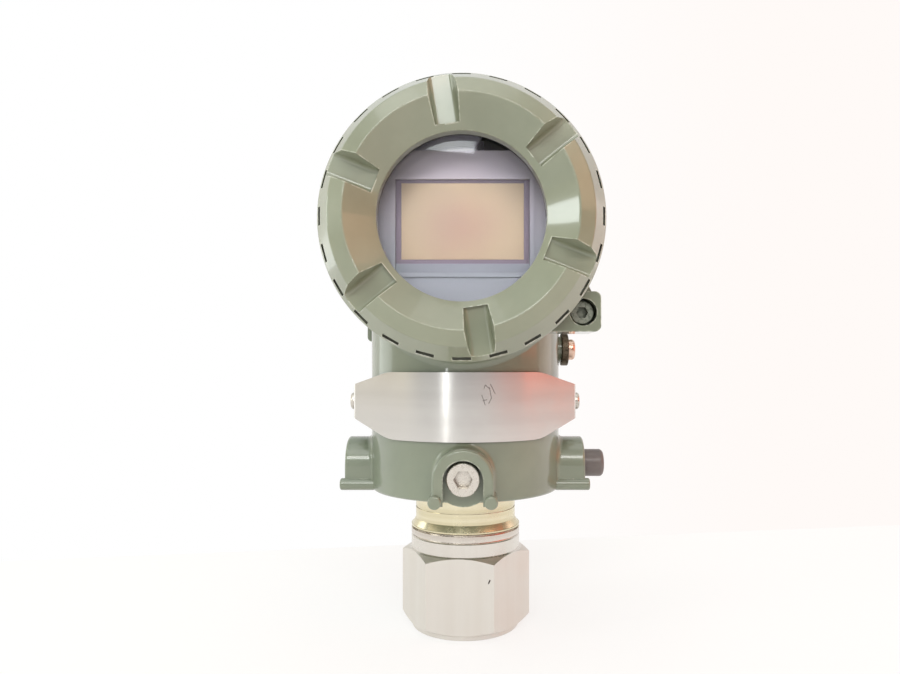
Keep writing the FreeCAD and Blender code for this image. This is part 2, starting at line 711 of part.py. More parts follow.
def small_holes():
    """Tapped and plain holes for screws, the adjuster, the feedthrough and the conduits."""
    tools = [lock_pocket(), spun(lock_pocket(), 180)]
    screw_hole = rod(CLAMP_SCREW_R + FIT, V(0, -SPIGOT_R + OVER, CLAMP_Z),
                     V(0, -ARCH_FLOOR - OVER, CLAMP_Z))
    tools += [screw_hole, spun(screw_hole, 180)]
    tools.append(rod(ADJUST_SHAFT_R + RUN, V(ADJUST_SHAFT_IN - PASS, 0, CLAMP_Z),
                     V(ARCH_FLOOR + OVER, 0, CLAMP_Z)))
    for side in (-1, 1):
        face_x = side * (PLATE_SIDE - PLATE_T)
        tools.append(rod(PLATE_SCREW_R + FIT, V(face_x + side * OVER, PAD_Y, PAD_Z),
                         V(face_x - side * PLATE_SCREW_L, PAD_Y, PAD_Z)))
    tools.append(rod(GROUND_SCREW_R + FIT, V(GROUND_FACE + OVER, GROUND_Y, GROUND_Z),
                     V(GROUND_FACE - GROUND_SCREW_L + GROUND_WASHER_T - FIT, GROUND_Y, GROUND_Z)))
    for side, radius in ((-1, PLUG_PORT_R), (1, PORT_R)):
        tools.append(rod(radius, V(side * (CONDUIT_REACH + OVER), CONDUIT_Y, CONDUIT_Z),
                         V(side * (CHAMBER_BORE_R - CONDUIT_THROUGH), CONDUIT_Y, CONDUIT_Z)))
    wall = BULKHEAD_HALF + OVER
    tools.append(rod(FEED_R + FIT, V(0, -wall, DRUM_Z + FEED_UP), V(0, wall, DRUM_Z + FEED_UP)))
    for x, z in amp_screw_places():
        tools.append(rod(AMP_SCREW_R + FIT, V(x, -wall, z), V(x, -BULKHEAD_HALF + AMP_SCREW_IN + FIT, z)))
    for x, z in block_screw_places():
        tools.append(rod(BLOCK_SCREW_R + FIT, V(x, wall, z), V(x, BULKHEAD_HALF - BLOCK_SCREW_IN - FIT, z)))
    return tools


def housing():
    body = housing_outside()
    pockets = [arch_pocket(quarter * 90) for quarter in range(4)]
    return body.cut(compartments()).cut(pockets).cut(small_holes())


# ---------------------------------------------------------------- nameplate
def nameplate():
    """Strap bent round the neck's front, with tapered wings and a tab at each side."""
    outer = plate_path(PLATE_R, PLATE_SIDE)
    inner = plate_path(PLATE_R - PLATE_T, PLATE_SIDE - PLATE_T)
    strap = plate_section(outer, inner).extrude(V(0, 0, PLATE_HIGH - PLATE_LOW))
    sides = [(TAPER_X, PLATE_HIGH, TAPER_ROUND), (PLATE_SIDE + OVER, TAB_HIGH),
             (PLATE_SIDE + OVER, TAB_LOW), (TAPER_X, PLATE_LOW, TAPER_ROUND)]
    mirrored = [(-corner[0],) + corner[1:] for corner in reversed(sides)]
    mask_face = Part.Face(outline(sides + mirrored, lambda x, z: V(x, -PLATE_SIDE - OVER, z)))
    mask = mask_face.extrude(V(0, 2 * PLATE_SIDE, 0))
    strap = strap.common(mask)
    for side in (-1, 1):
        hole = rod(PLATE_SCREW_R + 2 * FIT, V(0, PAD_Y, PAD_Z), V(side * (PLATE_SIDE + OVER), PAD_Y, PAD_Z))
        strap = strap.cut(hole)
    return strap


def plate_path(radius, side):
    """Corner points of one face of the strap on the right side: arc end, bend and tab end."""
    arc = math.radians(PLATE_ARC)
    start = V(radius * math.sin(arc), -radius * math.cos(arc), PLATE_LOW)
    along = V(math.cos(arc), math.sin(arc), 0)
    bend = start + along * ((side - start.x) / along.x)
    return start, bend, V(side, TAB_END_Y, PLATE_LOW)


def plate_section(outer, inner):
    """Plan of the strap as one face."""
    def flip(point):
        return V(-point.x, point.y, point.z)

    def line(a, b):
        return Part.LineSegment(a, b).toShape()

    edges = [Part.Arc(flip(outer[0]), V(0, -PLATE_R, PLATE_LOW), outer[0]).toShape(),
             Part.Arc(flip(inner[0]), V(0, -PLATE_R + PLATE_T, PLATE_LOW), inner[0]).toShape()]
    for mirror in (lambda point: point, flip):
        for path, radius in ((outer, PLATE_T * 2), (inner, PLATE_T)):
            start, bend, end = (mirror(point) for point in path)
            first, middle, last = corner_points(start, bend, end, radius)
            edges += [line(start, first), Part.Arc(first, middle, last).toShape(), line(last, end)]
        edges.append(line(mirror(outer[2]), mirror(inner[2])))
    return Part.Face(Part.Wire(Part.__sortEdges__(edges)))


def nameplate_screws():
    screws = []
    for side in (-1, 1):
        seat = V(side * PLATE_SIDE, PAD_Y, PAD_Z)
        screws.append(pan_screw(seat, V(side, 0, 0), PLATE_SCREW_HEAD_R, PLATE_SCREW_HEAD_H,
                                PLATE_SCREW_R, PLATE_SCREW_L))
    return Part.makeCompound(screws)


# ---------------------------------------------------------------- fasteners on the housing
def ground_washer():
    """Cupped square-edged washer that would clamp a ground wire."""
    return turned_x([
        (GROUND_SCREW_R + 2 * FIT, GROUND_FACE), (GROUND_WASHER_R, GROUND_FACE, WASHER_EDGE),
        (GROUND_WASHER_R, GROUND_FACE + GROUND_WASHER_T, WASHER_EDGE),
        (GROUND_SCREW_R + 2 * FIT, GROUND_FACE + GROUND_WASHER_T)], GROUND_Y, GROUND_Z)


def ground_screw():
    seat = V(GROUND_FACE + GROUND_WASHER_T, GROUND_Y, GROUND_Z)
    return pan_screw(seat, V(1, 0, 0), GROUND_HEAD_R, GROUND_HEAD_H, GROUND_SCREW_R, GROUND_SCREW_L)


def clamp_screws():
    """Socket-head screws at the front and rear whose tips stand in the sensor body's groove."""
    tip_gap = ARCH_FLOOR - CLAMP_GROOVE_R - PASS
    screw = socket_screw(V(0, -ARCH_FLOOR, CLAMP_Z), V(0, -1, 0), (CLAMP_HEAD_R, CLAMP_HEAD_H),
                         (CLAMP_SCREW_R, tip_gap), CLAMP_HEX_AF, CLAMP_HEX_D)
    return Part.makeCompound([screw, spun(screw, 180)])


def zero_adjust_screw():
    """Round adjuster with a driver slot; its shaft turns in the housing's wall."""
    head_in = ARCH_FLOOR + PASS
    groove_low = ADJUST_SEAL_X - ADJUST_SEAL_W / 2
    groove_high = ADJUST_SEAL_X + ADJUST_SEAL_W / 2
    body = turned_x([
        (0, ADJUST_SHAFT_IN), (ADJUST_SHAFT_R, ADJUST_SHAFT_IN), (ADJUST_SHAFT_R, groove_low),
        (ADJUST_SEAL_GROOVE_R, groove_low), (ADJUST_SEAL_GROOVE_R, groove_high),
        (ADJUST_SHAFT_R, groove_high),
        (ADJUST_SHAFT_R, head_in), (ADJUST_R, head_in), (ADJUST_R, ADJUST_REACH, ADJUST_ROUND),
        (0, ADJUST_REACH)], 0, CLAMP_Z)
    slot = block(
        V(ADJUST_REACH - ADJUST_SLOT_D, -ADJUST_SLOT_W / 2, CLAMP_Z - ADJUST_R - OVER),
        V(ADJUST_REACH + OVER, ADJUST_SLOT_W / 2, CLAMP_Z + ADJUST_R + OVER))
    return body.cut(slot)


def zero_adjust_o_ring():
    centre = ADJUST_SEAL_GROOVE_R + FIT + ADJUST_SEAL_SECTION_R
    ring = Part.makeTorus(centre, ADJUST_SEAL_SECTION_R, V(0, 0, 0), V(1, 0, 0))
    return moved(ring, V(ADJUST_SEAL_X, 0, CLAMP_Z))


def lock_screw(side):
    """Socket screw sunk in its lug; it comes out to hold the cover."""
    seat = V(LOCK_X, -LUG_FACE + LOCK_SUNK + LOCK_HEAD_H, LOCK_Z)
    screw = socket_screw(seat, V(0, -1, 0), (LOCK_HEAD_R, LOCK_HEAD_H), (LOCK_SHANK_R, LOCK_SHANK_L),
                         LOCK_HEX_AF, LOCK_HEX_D)
    return screw if side == "front" else spun(screw, 180)


def conduit_plug():
    """Recessed-hex plug in the left conduit entry."""
    face_x = -CONDUIT_REACH + PLUG_SUNK
    body = turned_x([
        (0, face_x), (PLUG_PORT_R - FIT, face_x, PLUG_EDGE), (PLUG_PORT_R - FIT, face_x + PLUG_L),
        (0, face_x + PLUG_L)],
        CONDUIT_Y, CONDUIT_Z)
    start = V(face_x - OVER, CONDUIT_Y, CONDUIT_Z)
    return body.cut(hexagon(PLUG_HEX_AF, PLUG_HEX_D + OVER, start, V(1, 0, 0)))


# ---------------------------------------------------------------- covers
RIM_BACK = COVER_REACH - DRUM_END - RIM_GAP      # depth of the rim's rear face behind the ridge


def cover_y(side, depth):
    """Y of a depth behind a cover's ridge."""
    return SIDES[side] * (COVER_REACH - depth)


def cover_outside():
    """(radius, depth) corners shared by both covers, from the ridge to the skirt's bore."""
    skirt_end = RIM_BACK + SKIRT_L
    return [
        (RIDGE_R, 0, RIDGE_ROUND), (BEVEL_R, BEVEL_D, BEVEL_ROUND), (RIM_R, RIM_D, BEVEL_ROUND),
        (RIM_R, RIM_BACK, RIM_ROUND),
        (SEAL_LAND_R, RIM_BACK), (SEAL_LAND_R, RIM_BACK + SEAL_LAND_L), (THREAD_R, RIM_BACK + SEAL_LAND_L),
        (THREAD_R, skirt_end - SKIRT_EDGE), (THREAD_R - SKIRT_EDGE, skirt_end), (SKIRT_BORE_R, skirt_end)]


def front_cover():
    lip = FUNNEL_D + LIP_T
    step = lip + GASKET_T + WINDOW_T + RETAINER_T
    corners = [(FUNNEL_R, FUNNEL_D, FUNNEL_ROUND)] + cover_outside() + [
        (SKIRT_BORE_R, step), (WINDOW_BORE_R, step), (WINDOW_BORE_R, lip), (FUNNEL_R, lip)]
    return cover_body("front", corners)


def rear_cover():
    back = BLANK_DISH_D + BLANK_T
    corners = [(0, BLANK_DISH_D), (BLANK_DISH_R, BLANK_DISH_D, BLANK_DISH_ROUND)] + cover_outside() + [
        (SKIRT_BORE_R, back), (0, back)]
    return cover_body("rear", corners)


def cover_body(side, corners):
    """Turned cover with its grip slots and rim pockets."""
    body = turned_y([(corner[0], cover_y(side, corner[1])) + corner[2:] for corner in corners])
    tools = [grip_slot(side, GRIP_FIRST + step * 360 / GRIPS) for step in range(GRIPS)]
    tools += [rim_pocket(side, -90 + step * 360 / RIM_POCKETS) for step in range(RIM_POCKETS)]
    return body.cut(tools)


def grip_slot(side, degrees):
    """Slot with sloped walls and rounded roots, cut from the funnel out through the bevel."""
    corners = [
        (-GRIP_TOP_HALF - (GRIP_TOP_HALF - GRIP_FLOOR_HALF) / GRIP_D * OVER, -OVER),
        (-GRIP_FLOOR_HALF, GRIP_D, GRIP_ROOT), (GRIP_FLOOR_HALF, GRIP_D, GRIP_ROOT),
        (GRIP_TOP_HALF + (GRIP_TOP_HALF - GRIP_FLOOR_HALF) / GRIP_D * OVER, -OVER)]
    face = Part.Face(outline(corners, lambda across, depth: V(GRIP_INNER_R, cover_y(side, depth), across)))
    tool = face.extrude(V(RIM_R - GRIP_INNER_R + OVER, 0, 0))
    return moved(spun(tool, -degrees, axis=V(0, 1, 0)), V(0, 0, DRUM_Z))


def rim_pocket(side, degrees):
    """Narrow pocket just inside the rim's edge."""
    ends = sorted((cover_y(side, 0), cover_y(side, POCKET_DEEP)))
    tool = block(V(POCKET_INNER_R, ends[0], -POCKET_W / 2), V(POCKET_OUTER_R, ends[1], POCKET_W / 2))
    return moved(spun(tool, -degrees, axis=V(0, 1, 0)), V(0, 0, DRUM_Z))


def cover_o_ring(side):
    ring = Part.makeTorus(COVER_SEAL_R, COVER_SEAL_SECTION_R, V(0, 0, 0), V(0, 1, 0))
    return moved(ring, V(0, cover_y(side, RIM_BACK + COVER_SEAL_D), DRUM_Z))


def disc_y(inner, outer, start, end):
    """Ring or disc about the drum's axis between two Y values."""
    return turned_y([(inner, start), (outer, start), (outer, end), (inner, end)])


WINDOW_FRONT = cover_y("front", FUNNEL_D + LIP_T + GASKET_T)


def window_gasket():
    return disc_y(GASKET_R, WINDOW_BORE_R - FIT, WINDOW_FRONT - GASKET_T, WINDOW_FRONT)


def front_window():
    rear = WINDOW_FRONT + WINDOW_T
    radius = WINDOW_BORE_R - 2 * FIT
    return turned_y([
        (0, WINDOW_FRONT), (radius - GLASS_EDGE, WINDOW_FRONT), (radius, WINDOW_FRONT + GLASS_EDGE),
        (radius, rear - GLASS_EDGE), (radius - GLASS_EDGE, rear), (0, rear)])


def window_retainer():
    """Threaded ring that holds the glass, with two spanner notches."""
    start = WINDOW_FRONT + WINDOW_T
    ring = disc_y(RETAINER_R, WINDOW_BORE_R - FIT, start, start + RETAINER_T)
    notch = block(V(-WINDOW_BORE_R, start + RETAINER_T - SPANNER_D, DRUM_Z - SPANNER_W / 2),
                  V(WINDOW_BORE_R, start + RETAINER_T + OVER, DRUM_Z + SPANNER_W / 2))
    return ring.cut(notch)


# ---------------------------------------------------------------- display
CASE_FRONT = WINDOW_FRONT + WINDOW_T + RETAINER_T + DISPLAY_GAP + DISPLAY_HEAD_H
CASE_REAR = CASE_FRONT + DISPLAY_CASE_L
DISPLAY_SCREW_ANGLES = (200, 340)
AMP_SCREW_ANGLES = (30, 150, 270)


def display_screw_places():
    places = [around_drum(DISPLAY_SCREW_CIRCLE, angle) for angle in DISPLAY_SCREW_ANGLES]
    return [(x, z + DRUM_Z) for x, z in places]


def amp_screw_places():
    places = [around_drum(AMP_SCREW_CIRCLE, angle) for angle in AMP_SCREW_ANGLES]
    return [(x, z + DRUM_Z) for x, z in places]


def block_screw_places():
    return [(side * BLOCK_SCREW_X, DRUM_Z + BLOCK_SCREW_Z) for side in (-1, 1)]


def screen_box(margin, start, end):
    half_w = SCREEN_W / 2 + margin
    half_h = SCREEN_H / 2 + margin
    centre = DRUM_Z + SCREEN_Z
    return block(V(-half_w, start, centre - half_h), V(half_w, end, centre + half_h))


def below_case_top(margin):
    """Block under the display's flat top and bevelled corners, margin lower than the outside."""
    side = CASE_R + OVER
    top = DRUM_Z + CASE_TOP - margin
    shoulder = DRUM_Z + CASE_SHOULDER - margin
    corners = [
        (-side, DRUM_Z - side), (side, DRUM_Z - side), (side, shoulder), (CASE_TOP_HALF, top),
        (-CASE_TOP_HALF, top), (-side, shoulder)]
    face = Part.Face(outline(corners, lambda x, z: V(x, CASE_FRONT - OVER, z)))
    return face.extrude(V(0, DISPLAY_CASE_L + 2 * OVER, 0))


def lead_notch(low, near, far):
    """Slanted gap beside the top that the sensor's lead passes through, from near to far."""
    corners = [(LEAD_NOTCH_LEFT, low), (LEAD_NOTCH_RIGHT, low),
               (LEAD_NOTCH_RIGHT, CASE_R + OVER), (LEAD_NOTCH_LEFT + LEAD_NOTCH_SLANT, CASE_R + OVER)]
    face = Part.Face(outline(corners, lambda x, z: V(x, near, DRUM_Z + z)))
    return face.extrude(V(0, far - near, 0))


def display_brow():
    """Ledge that fills the round above the display's flat top, notched for the sensor's lead."""
    front = CASE_FRONT + BROW_STEP
    rear = front + BROW_T
    crescent = disc_y(0, CASE_R, front, rear).cut(below_case_top(CASE_WALL))
    return crescent.cut(lead_notch(BROW_NOTCH_LOW, front - OVER, rear + OVER))


def display_case():
    """Cup with a flat top and a ledge above it, a rimmed opening for the screen, posts and columns."""
    plate = CASE_FRONT + DISPLAY_PLATE_T
    board_face = CASE_FRONT + SCREEN_SUNK + SCREEN_T
    outside = turned_y([
        (0, CASE_FRONT), (CASE_R, CASE_FRONT, CASE_ROUND), (CASE_R, CASE_REAR), (0, CASE_REAR)])
    inside = disc_y(0, CASE_R - CASE_WALL, plate, CASE_REAR + OVER)
    body = outside.common(below_case_top(0)).cut(inside.common(below_case_top(CASE_WALL)))
    rim = screen_box(FIT + DISPLAY_RIM_W, CASE_FRONT - DISPLAY_RIM_H, plate)
    columns = [rod(DISPLAY_COLUMN_R, V(x, plate - ROOT, z), V(x, CASE_REAR, z))
               for x, z in display_screw_places()]
    posts = []
    for degrees in (90, 270):
        x, z = around_drum(DISPLAY_POST_CIRCLE, degrees)
        posts.append(rod(POST_R, V(x, plate - ROOT, DRUM_Z + z), V(x, board_face, DRUM_Z + z)))
    body = joined(body, rim, display_brow(), *columns, *posts)
    holes = [rod(DISPLAY_SCREW_R + FIT, V(x, CASE_FRONT - OVER, z), V(x, CASE_REAR + OVER, z))
             for x, z in display_screw_places()]
    opening = screen_box(FIT, CASE_FRONT - DISPLAY_RIM_H - OVER, plate + OVER)
    return body.cut([opening] + holes)


def display_screen():
    return screen_box(0, CASE_FRONT + SCREEN_SUNK, CASE_FRONT + SCREEN_SUNK + SCREEN_T)


def display_board():
    """Round board behind the screen, with one chip on its rear face."""
    face = CASE_FRONT + SCREEN_SUNK + SCREEN_T
    disc = disc_y(0, DISPLAY_BOARD_R, face, face + BOARD_T)
    notches = [rod(DISPLAY_COLUMN_R + 2 * FIT, V(x, face - OVER, z), V(x, face + BOARD_T + OVER, z))
               for x, z in display_screw_places()]
    chip = block(V(-CHIP_L / 2, face + BOARD_T, DRUM_Z - CHIP_L / 2),
                 V(CHIP_L / 2, face + BOARD_T + CHIP_H, DRUM_Z + CHIP_L / 2))
    trimmed = disc.common(below_case_top(CASE_WALL + FIT))
    return joined(trimmed.cut(notches), chip)


def display_screws():
    length = DISPLAY_CASE_L + AMP_PLATE_T + SCREW_REACH
    screws = [screw_along(V(x, CASE_FRONT, z), V(0, -1, 0), DISPLAY_HEAD_R, DISPLAY_HEAD_H,
                          DISPLAY_SCREW_R, length, HEAD_EDGE)
              for x, z in display_screw_places()]
    return Part.makeCompound(screws)


# ---------------------------------------------------------------- amplifier
AMP_PLATE_REAR = CASE_REAR + AMP_PLATE_T
AMP_BOARD_Y = (AMP_PLATE_REAR - BULKHEAD_HALF) / 2     # midway between the plate and the bulkhead


def amplifier_case():
    """Cup on the bulkhead with the display in front, the board inside and a notch for the sensor's lead."""
    body = turned_y([
        (0, CASE_REAR), (CASE_R, CASE_REAR), (CASE_R, -BULKHEAD_HALF), (CASE_R - CASE_WALL, -BULKHEAD_HALF),
        (CASE_R - CASE_WALL, AMP_PLATE_REAR), (0, AMP_PLATE_REAR)])
    posts = []
    for degrees in (90, 210, 330):
        x, z = around_drum(AMP_POST_CIRCLE, degrees)
        posts.append(rod(POST_R, V(x, AMP_PLATE_REAR - ROOT, DRUM_Z + z), V(x, AMP_BOARD_Y, DRUM_Z + z)))
    body = joined(body, *posts)
    holes = [rod(DISPLAY_SCREW_R + FIT, V(x, CASE_REAR - OVER, z), V(x, AMP_PLATE_REAR + OVER, z))
             for x, z in display_screw_places()]
    holes += [rod(AMP_SCREW_R + FIT, V(x, CASE_REAR - OVER, z), V(x, AMP_PLATE_REAR + OVER, z))
              for x, z in amp_screw_places()]
    notch = lead_notch(LEAD_NOTCH_LOW, CASE_REAR - OVER, CASE_REAR + LEAD_NOTCH_L)
    return body.cut(holes + [notch])


def amplifier_board():
    """Main board with a transformer block, notched round the case's long screws."""
    disc = disc_y(0, AMP_BOARD_R, AMP_BOARD_Y, AMP_BOARD_Y + BOARD_T)
    rear = AMP_BOARD_Y + BOARD_T
    notches = [rod(AMP_SCREW_R + NOTCH_GAP, V(x, AMP_BOARD_Y - OVER, z), V(x, rear + OVER, z))
               for x, z in amp_screw_places()]
    front = AMP_BOARD_Y - CHIP_H * 2
    chip = block(V(-CHIP_L / 2, front, DRUM_Z - CHIP_L / 2), V(CHIP_L / 2, AMP_BOARD_Y, DRUM_Z + CHIP_L / 2))
    posts = []
    for degrees in (90, 210, 330):
        x, z = around_drum(AMP_POST_CIRCLE, degrees)
        posts.append(rod(POST_R + FIT, V(x, front - OVER, DRUM_Z + z), V(x, AMP_BOARD_Y, DRUM_Z + z)))
    return joined(disc.cut(notches), chip.cut(posts))


def amplifier_screws():
    length = -BULKHEAD_HALF - CASE_REAR + AMP_SCREW_IN
    screws = [screw_along(V(x, CASE_REAR, z), V(0, -1, 0), AMP_HEAD_R, AMP_HEAD_H,
                          AMP_SCREW_R, length, HEAD_EDGE)
              for x, z in amp_screw_places()]
    return Part.makeCompound(screws)


# ---------------------------------------------------------------- terminals
def feedthrough():
    """Sealed bushing through the bulkhead with two pins."""
    reach = BULKHEAD_HALF + FEED_STICK
    centre = DRUM_Z + FEED_UP
    body = rod(FEED_R, V(0, -reach, centre), V(0, reach, centre))
    pins = [rod(FEED_PIN_R, V(side * FEED_PIN_PITCH / 2, -reach - FEED_PIN_L, centre),
                V(side * FEED_PIN_PITCH / 2, reach + FEED_PIN_L, centre)) for side in (-1, 1)]
    return joined(body, *pins)


def terminal_x(index):
    return (index - (TERMINALS - 1) / 2) * TERMINAL_PITCH


def terminal_block():
    """Moulded block on the bulkhead's rear face, with ribs between the terminals."""
    front = BULKHEAD_HALF
    rear = BULKHEAD_HALF + BLOCK_T
    body = turned_y([(0, front), (BLOCK_R, front), (BLOCK_R, rear, BLOCK_ROUND), (0, rear)])
    ribs = []
    for index in range(TERMINALS + 1):
        x = terminal_x(index - 0.5)
        low = V(x - RIB_T / 2, rear - ROOT, DRUM_Z + TERMINAL_Z - RIB_L / 2)
        ribs.append(block(low, V(x + RIB_T / 2, rear + RIB_H, DRUM_Z + TERMINAL_Z + RIB_L / 2)))
    body = joined(body, *ribs)
    feed_z = DRUM_Z + FEED_UP
    holes = [rod(FEED_R + NOTCH_GAP, V(0, front - OVER, feed_z), V(0, rear + OVER, feed_z))]
    for index in range(TERMINALS):
        x = terminal_x(index)
        holes.append(rod(TERMINAL_R + FIT, V(x, rear + OVER, DRUM_Z + TERMINAL_Z),
                         V(x, rear + TERMINAL_PLATE_T - TERMINAL_L - FIT, DRUM_Z + TERMINAL_Z)))
    for x, z in block_screw_places():
        holes.append(rod(BLOCK_SCREW_R + FIT, V(x, front - OVER, z), V(x, rear + OVER, z)))
    return body.cut(holes)


def terminal_plates():
    """Square plated washers under the terminal screws."""
    rear = BULKHEAD_HALF + BLOCK_T
    plates = []
    for index in range(TERMINALS):
        centre = V(terminal_x(index), 0, DRUM_Z + TERMINAL_Z)
        half = TERMINAL_PLATE / 2
        plate = block(V(centre.x - half, rear, centre.z - half),
                      V(centre.x + half, rear + TERMINAL_PLATE_T, centre.z + half))
        hole = rod(TERMINAL_R + 2 * FIT, V(centre.x, rear - OVER, centre.z),
                   V(centre.x, rear + TERMINAL_PLATE_T + OVER, centre.z))
        plates.append(plate.cut(hole))
    return Part.makeCompound(plates)


def terminal_screws():
    seat_y = BULKHEAD_HALF + BLOCK_T + TERMINAL_PLATE_T
    screws = []
    for index in range(TERMINALS):
        seat = V(terminal_x(index), seat_y, DRUM_Z + TERMINAL_Z)
        screws.append(pan_screw(seat, V(0, 1, 0), TERMINAL_HEAD_R, TERMINAL_HEAD_H, TERMINAL_R, TERMINAL_L))
    return Part.makeCompound(screws)


def block_screws():
    seat_y = BULKHEAD_HALF + BLOCK_T
    length = BLOCK_T + BLOCK_SCREW_IN
    screws = [pan_screw(V(x, seat_y, z), V(0, 1, 0), BLOCK_HEAD_R, BLOCK_HEAD_H, BLOCK_SCREW_R, length)
              for x, z in block_screw_places()]
    return Part.makeCompound(screws)


# ---------------------------------------------------------------- all nodes
NODES = {
    "process_adapter": process_adapter,
    "spacer_ring": spacer_ring,
    "isolating_diaphragm": isolating_diaphragm,
    "sensor_body": sensor_body,
    "neck_o_ring": neck_o_ring,
    "pressure_sensor": pressure_sensor,
    "sensor_board": sensor_board,
    "sensor_socket": sensor_socket,
    "housing": housing,
    "nameplate": nameplate,
    "nameplate_screws": nameplate_screws,
    "ground_washer": ground_washer,
    "ground_screw": ground_screw,
    "clamp_screws": clamp_screws,
    "conduit_plug": conduit_plug,
    "zero_adjust_screw": zero_adjust_screw,
    "zero_adjust_o_ring": zero_adjust_o_ring,
    "front_lock_screw": lambda: lock_screw("front"),
    "rear_lock_screw": lambda: lock_screw("rear"),
    "front_cover": front_cover,
    "front_cover_o_ring": lambda: cover_o_ring("front"),
    "window_gasket": window_gasket,
    "front_window": front_window,
    "window_retainer": window_retainer,
    "rear_cover": rear_cover,
    "rear_cover_o_ring": lambda: cover_o_ring("rear"),
    "display_case": display_case,
    "display_screen": display_screen,
    "display_board": display_board,
    "display_screws": display_screws,
    "amplifier_case": amplifier_case,
    "amplifier_board": amplifier_board,
    "amplifier_screws": amplifier_screws,
    "feedthrough": feedthrough,
    "terminal_block": terminal_block,
    "terminal_plates": terminal_plates,
    "terminal_screws": terminal_screws,
    "block_screws": block_screws,
}


def main():
    os.makedirs("parts", exist_ok=True)
    for name, build in NODES.items():
        shape = build()
        volumes = [round(solid.Volume, 1) for solid in shape.Solids]
        print(name, shape.isValid(), volumes)
        shape.exportStep("parts/" + name + ".step")


main()
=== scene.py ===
"""Finishes, screen, threads, light and camera of the pressure transmitter, laid over its frame.

Metres. +Z is up, the display faces -Y, and the origin is the centre of the process port's mouth.
"""
import bpy
import json
import math
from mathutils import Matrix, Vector


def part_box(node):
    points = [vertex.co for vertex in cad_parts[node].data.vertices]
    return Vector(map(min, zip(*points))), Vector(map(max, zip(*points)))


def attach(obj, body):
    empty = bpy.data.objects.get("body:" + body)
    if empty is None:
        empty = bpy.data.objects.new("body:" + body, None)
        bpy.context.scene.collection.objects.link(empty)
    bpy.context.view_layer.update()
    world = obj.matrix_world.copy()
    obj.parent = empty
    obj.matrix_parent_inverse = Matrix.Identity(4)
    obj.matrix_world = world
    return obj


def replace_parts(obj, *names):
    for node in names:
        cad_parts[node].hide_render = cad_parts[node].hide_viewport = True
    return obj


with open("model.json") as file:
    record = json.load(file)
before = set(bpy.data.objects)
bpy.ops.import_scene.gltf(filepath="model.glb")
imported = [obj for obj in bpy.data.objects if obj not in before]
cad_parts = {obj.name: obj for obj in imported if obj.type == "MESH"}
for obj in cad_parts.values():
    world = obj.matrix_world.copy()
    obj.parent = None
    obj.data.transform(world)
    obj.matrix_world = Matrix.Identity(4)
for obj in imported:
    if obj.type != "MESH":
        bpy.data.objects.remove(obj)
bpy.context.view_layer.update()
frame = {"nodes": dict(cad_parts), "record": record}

MM = 0.001

# ------------------------------------------------------------ places read from the frame
GLASS_LOW, GLASS_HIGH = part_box("front_window")
SCREEN_LOW, SCREEN_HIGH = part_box("display_screen")
SCREEN_CENTRE = (SCREEN_LOW + SCREEN_HIGH) / 2
DRUM_AXIS = (GLASS_LOW + GLASS_HIGH) / 2    # a point on the axis of both covers
MOUNTS = {mount["name"]: mount for mount in frame["record"]["mounts"]}
COUPLING = frame["record"]["behaviour"]["couplings"][0]
COVER_PITCH = COUPLING["ratio"] * 2 * math.pi

# ------------------------------------------------------------ heights where a finish changes
HEX_TOP = 26.8 * MM           # above it the process adapter is turned, not milled
LEDGE_UP = 21.1 * MM          # the display's pale ledge begins this far above the drum's axis

# ------------------------------------------------------------ sizes of the screen
FRAME_BAND = 1.55 * MM        # the frame beside the glass
FRAME_TOP = 0.85 * MM         # the frame above the glass
FRAME_CHIN = 3.75 * MM        # the frame below the glass
FRAME_DARK = 1.1 * MM         # dark line round the glass
FRAME_RECESS = 0.35 * MM      # depth of the opening that holds the glass
FRAME_ROUND = 0.125 * MM
GLASS_GAP = 0.05 * MM         # between the glass and its frame
GLASS_SET_BACK = 0.35 * FRAME_RECESS
GLASS_ROUND = 0.1 * MM

# ------------------------------------------------------------ sizes of the threads
PIPE_PITCH = 1.814 * MM       # 1/2 inch taper pipe thread
PIPE_RIDGE = 0.75 * MM        # height of a ridge above its wall
PIPE_RIDGE_W = 0.8 * PIPE_PITCH
PIPE_LEAD_IN = 1.3 * MM       # left plain at each end of a port
SKIRT_R = 33.9 * MM
MOUTH_BORE_R = 34.2 * MM
COVER_RIDGE = 0.25 * MM
COVER_RIDGE_W = 0.7 * MM
THREAD_OUTER_Y = 44.2 * MM    # outer ends of the cover threads, from the neck's axis
SKIRT_THREAD_L = 5.4 * MM
MOUTH_THREAD_L = 6.6 * MM
RIDGE_CREST = 0.09            # half the width of a ridge's crest, as a share of its foot
RIDGE_SUNK = 0.05 * MM        # how far a ridge's foot lies in its wall
STEPS_PER_TURN = 64

# ------------------------------------------------------------ marks on the metal
# From and to, in millimetres across and up.
HEX_NICK = ((7.7, 19.0), (8.1, 20.0))
PLATE_SCRATCHES = (
    ((8.1, 82.7), (9.5, 79.8)), ((6.2, 81.4), (6.5, 82.5)), ((6.5, 82.5), (7.8, 81.3)),
    ((7.8, 81.6), (8.4, 78.5)), ((8.4, 78.5), (7.6, 76.9)), ((5.5, 79.4), (6.5, 76.5)),
    ((5.8, 77.7), (7.0, 78.0)))

# ------------------------------------------------------------ stage, light and camera
FLOOR_SIZE = 6.0
FLOOR_DROP = 0.02 * MM        # keeps the floor clear of the hex's foot
FLOOR_GLOW = 0.72             # share of the floor that glows plain white where it is looked at
CARD_AT = (0, 0.1086, 0.6)
CARD_TURN = 0.16              # radians about the vertical
CARD_SCALE = (3.0, 1.2, 1)

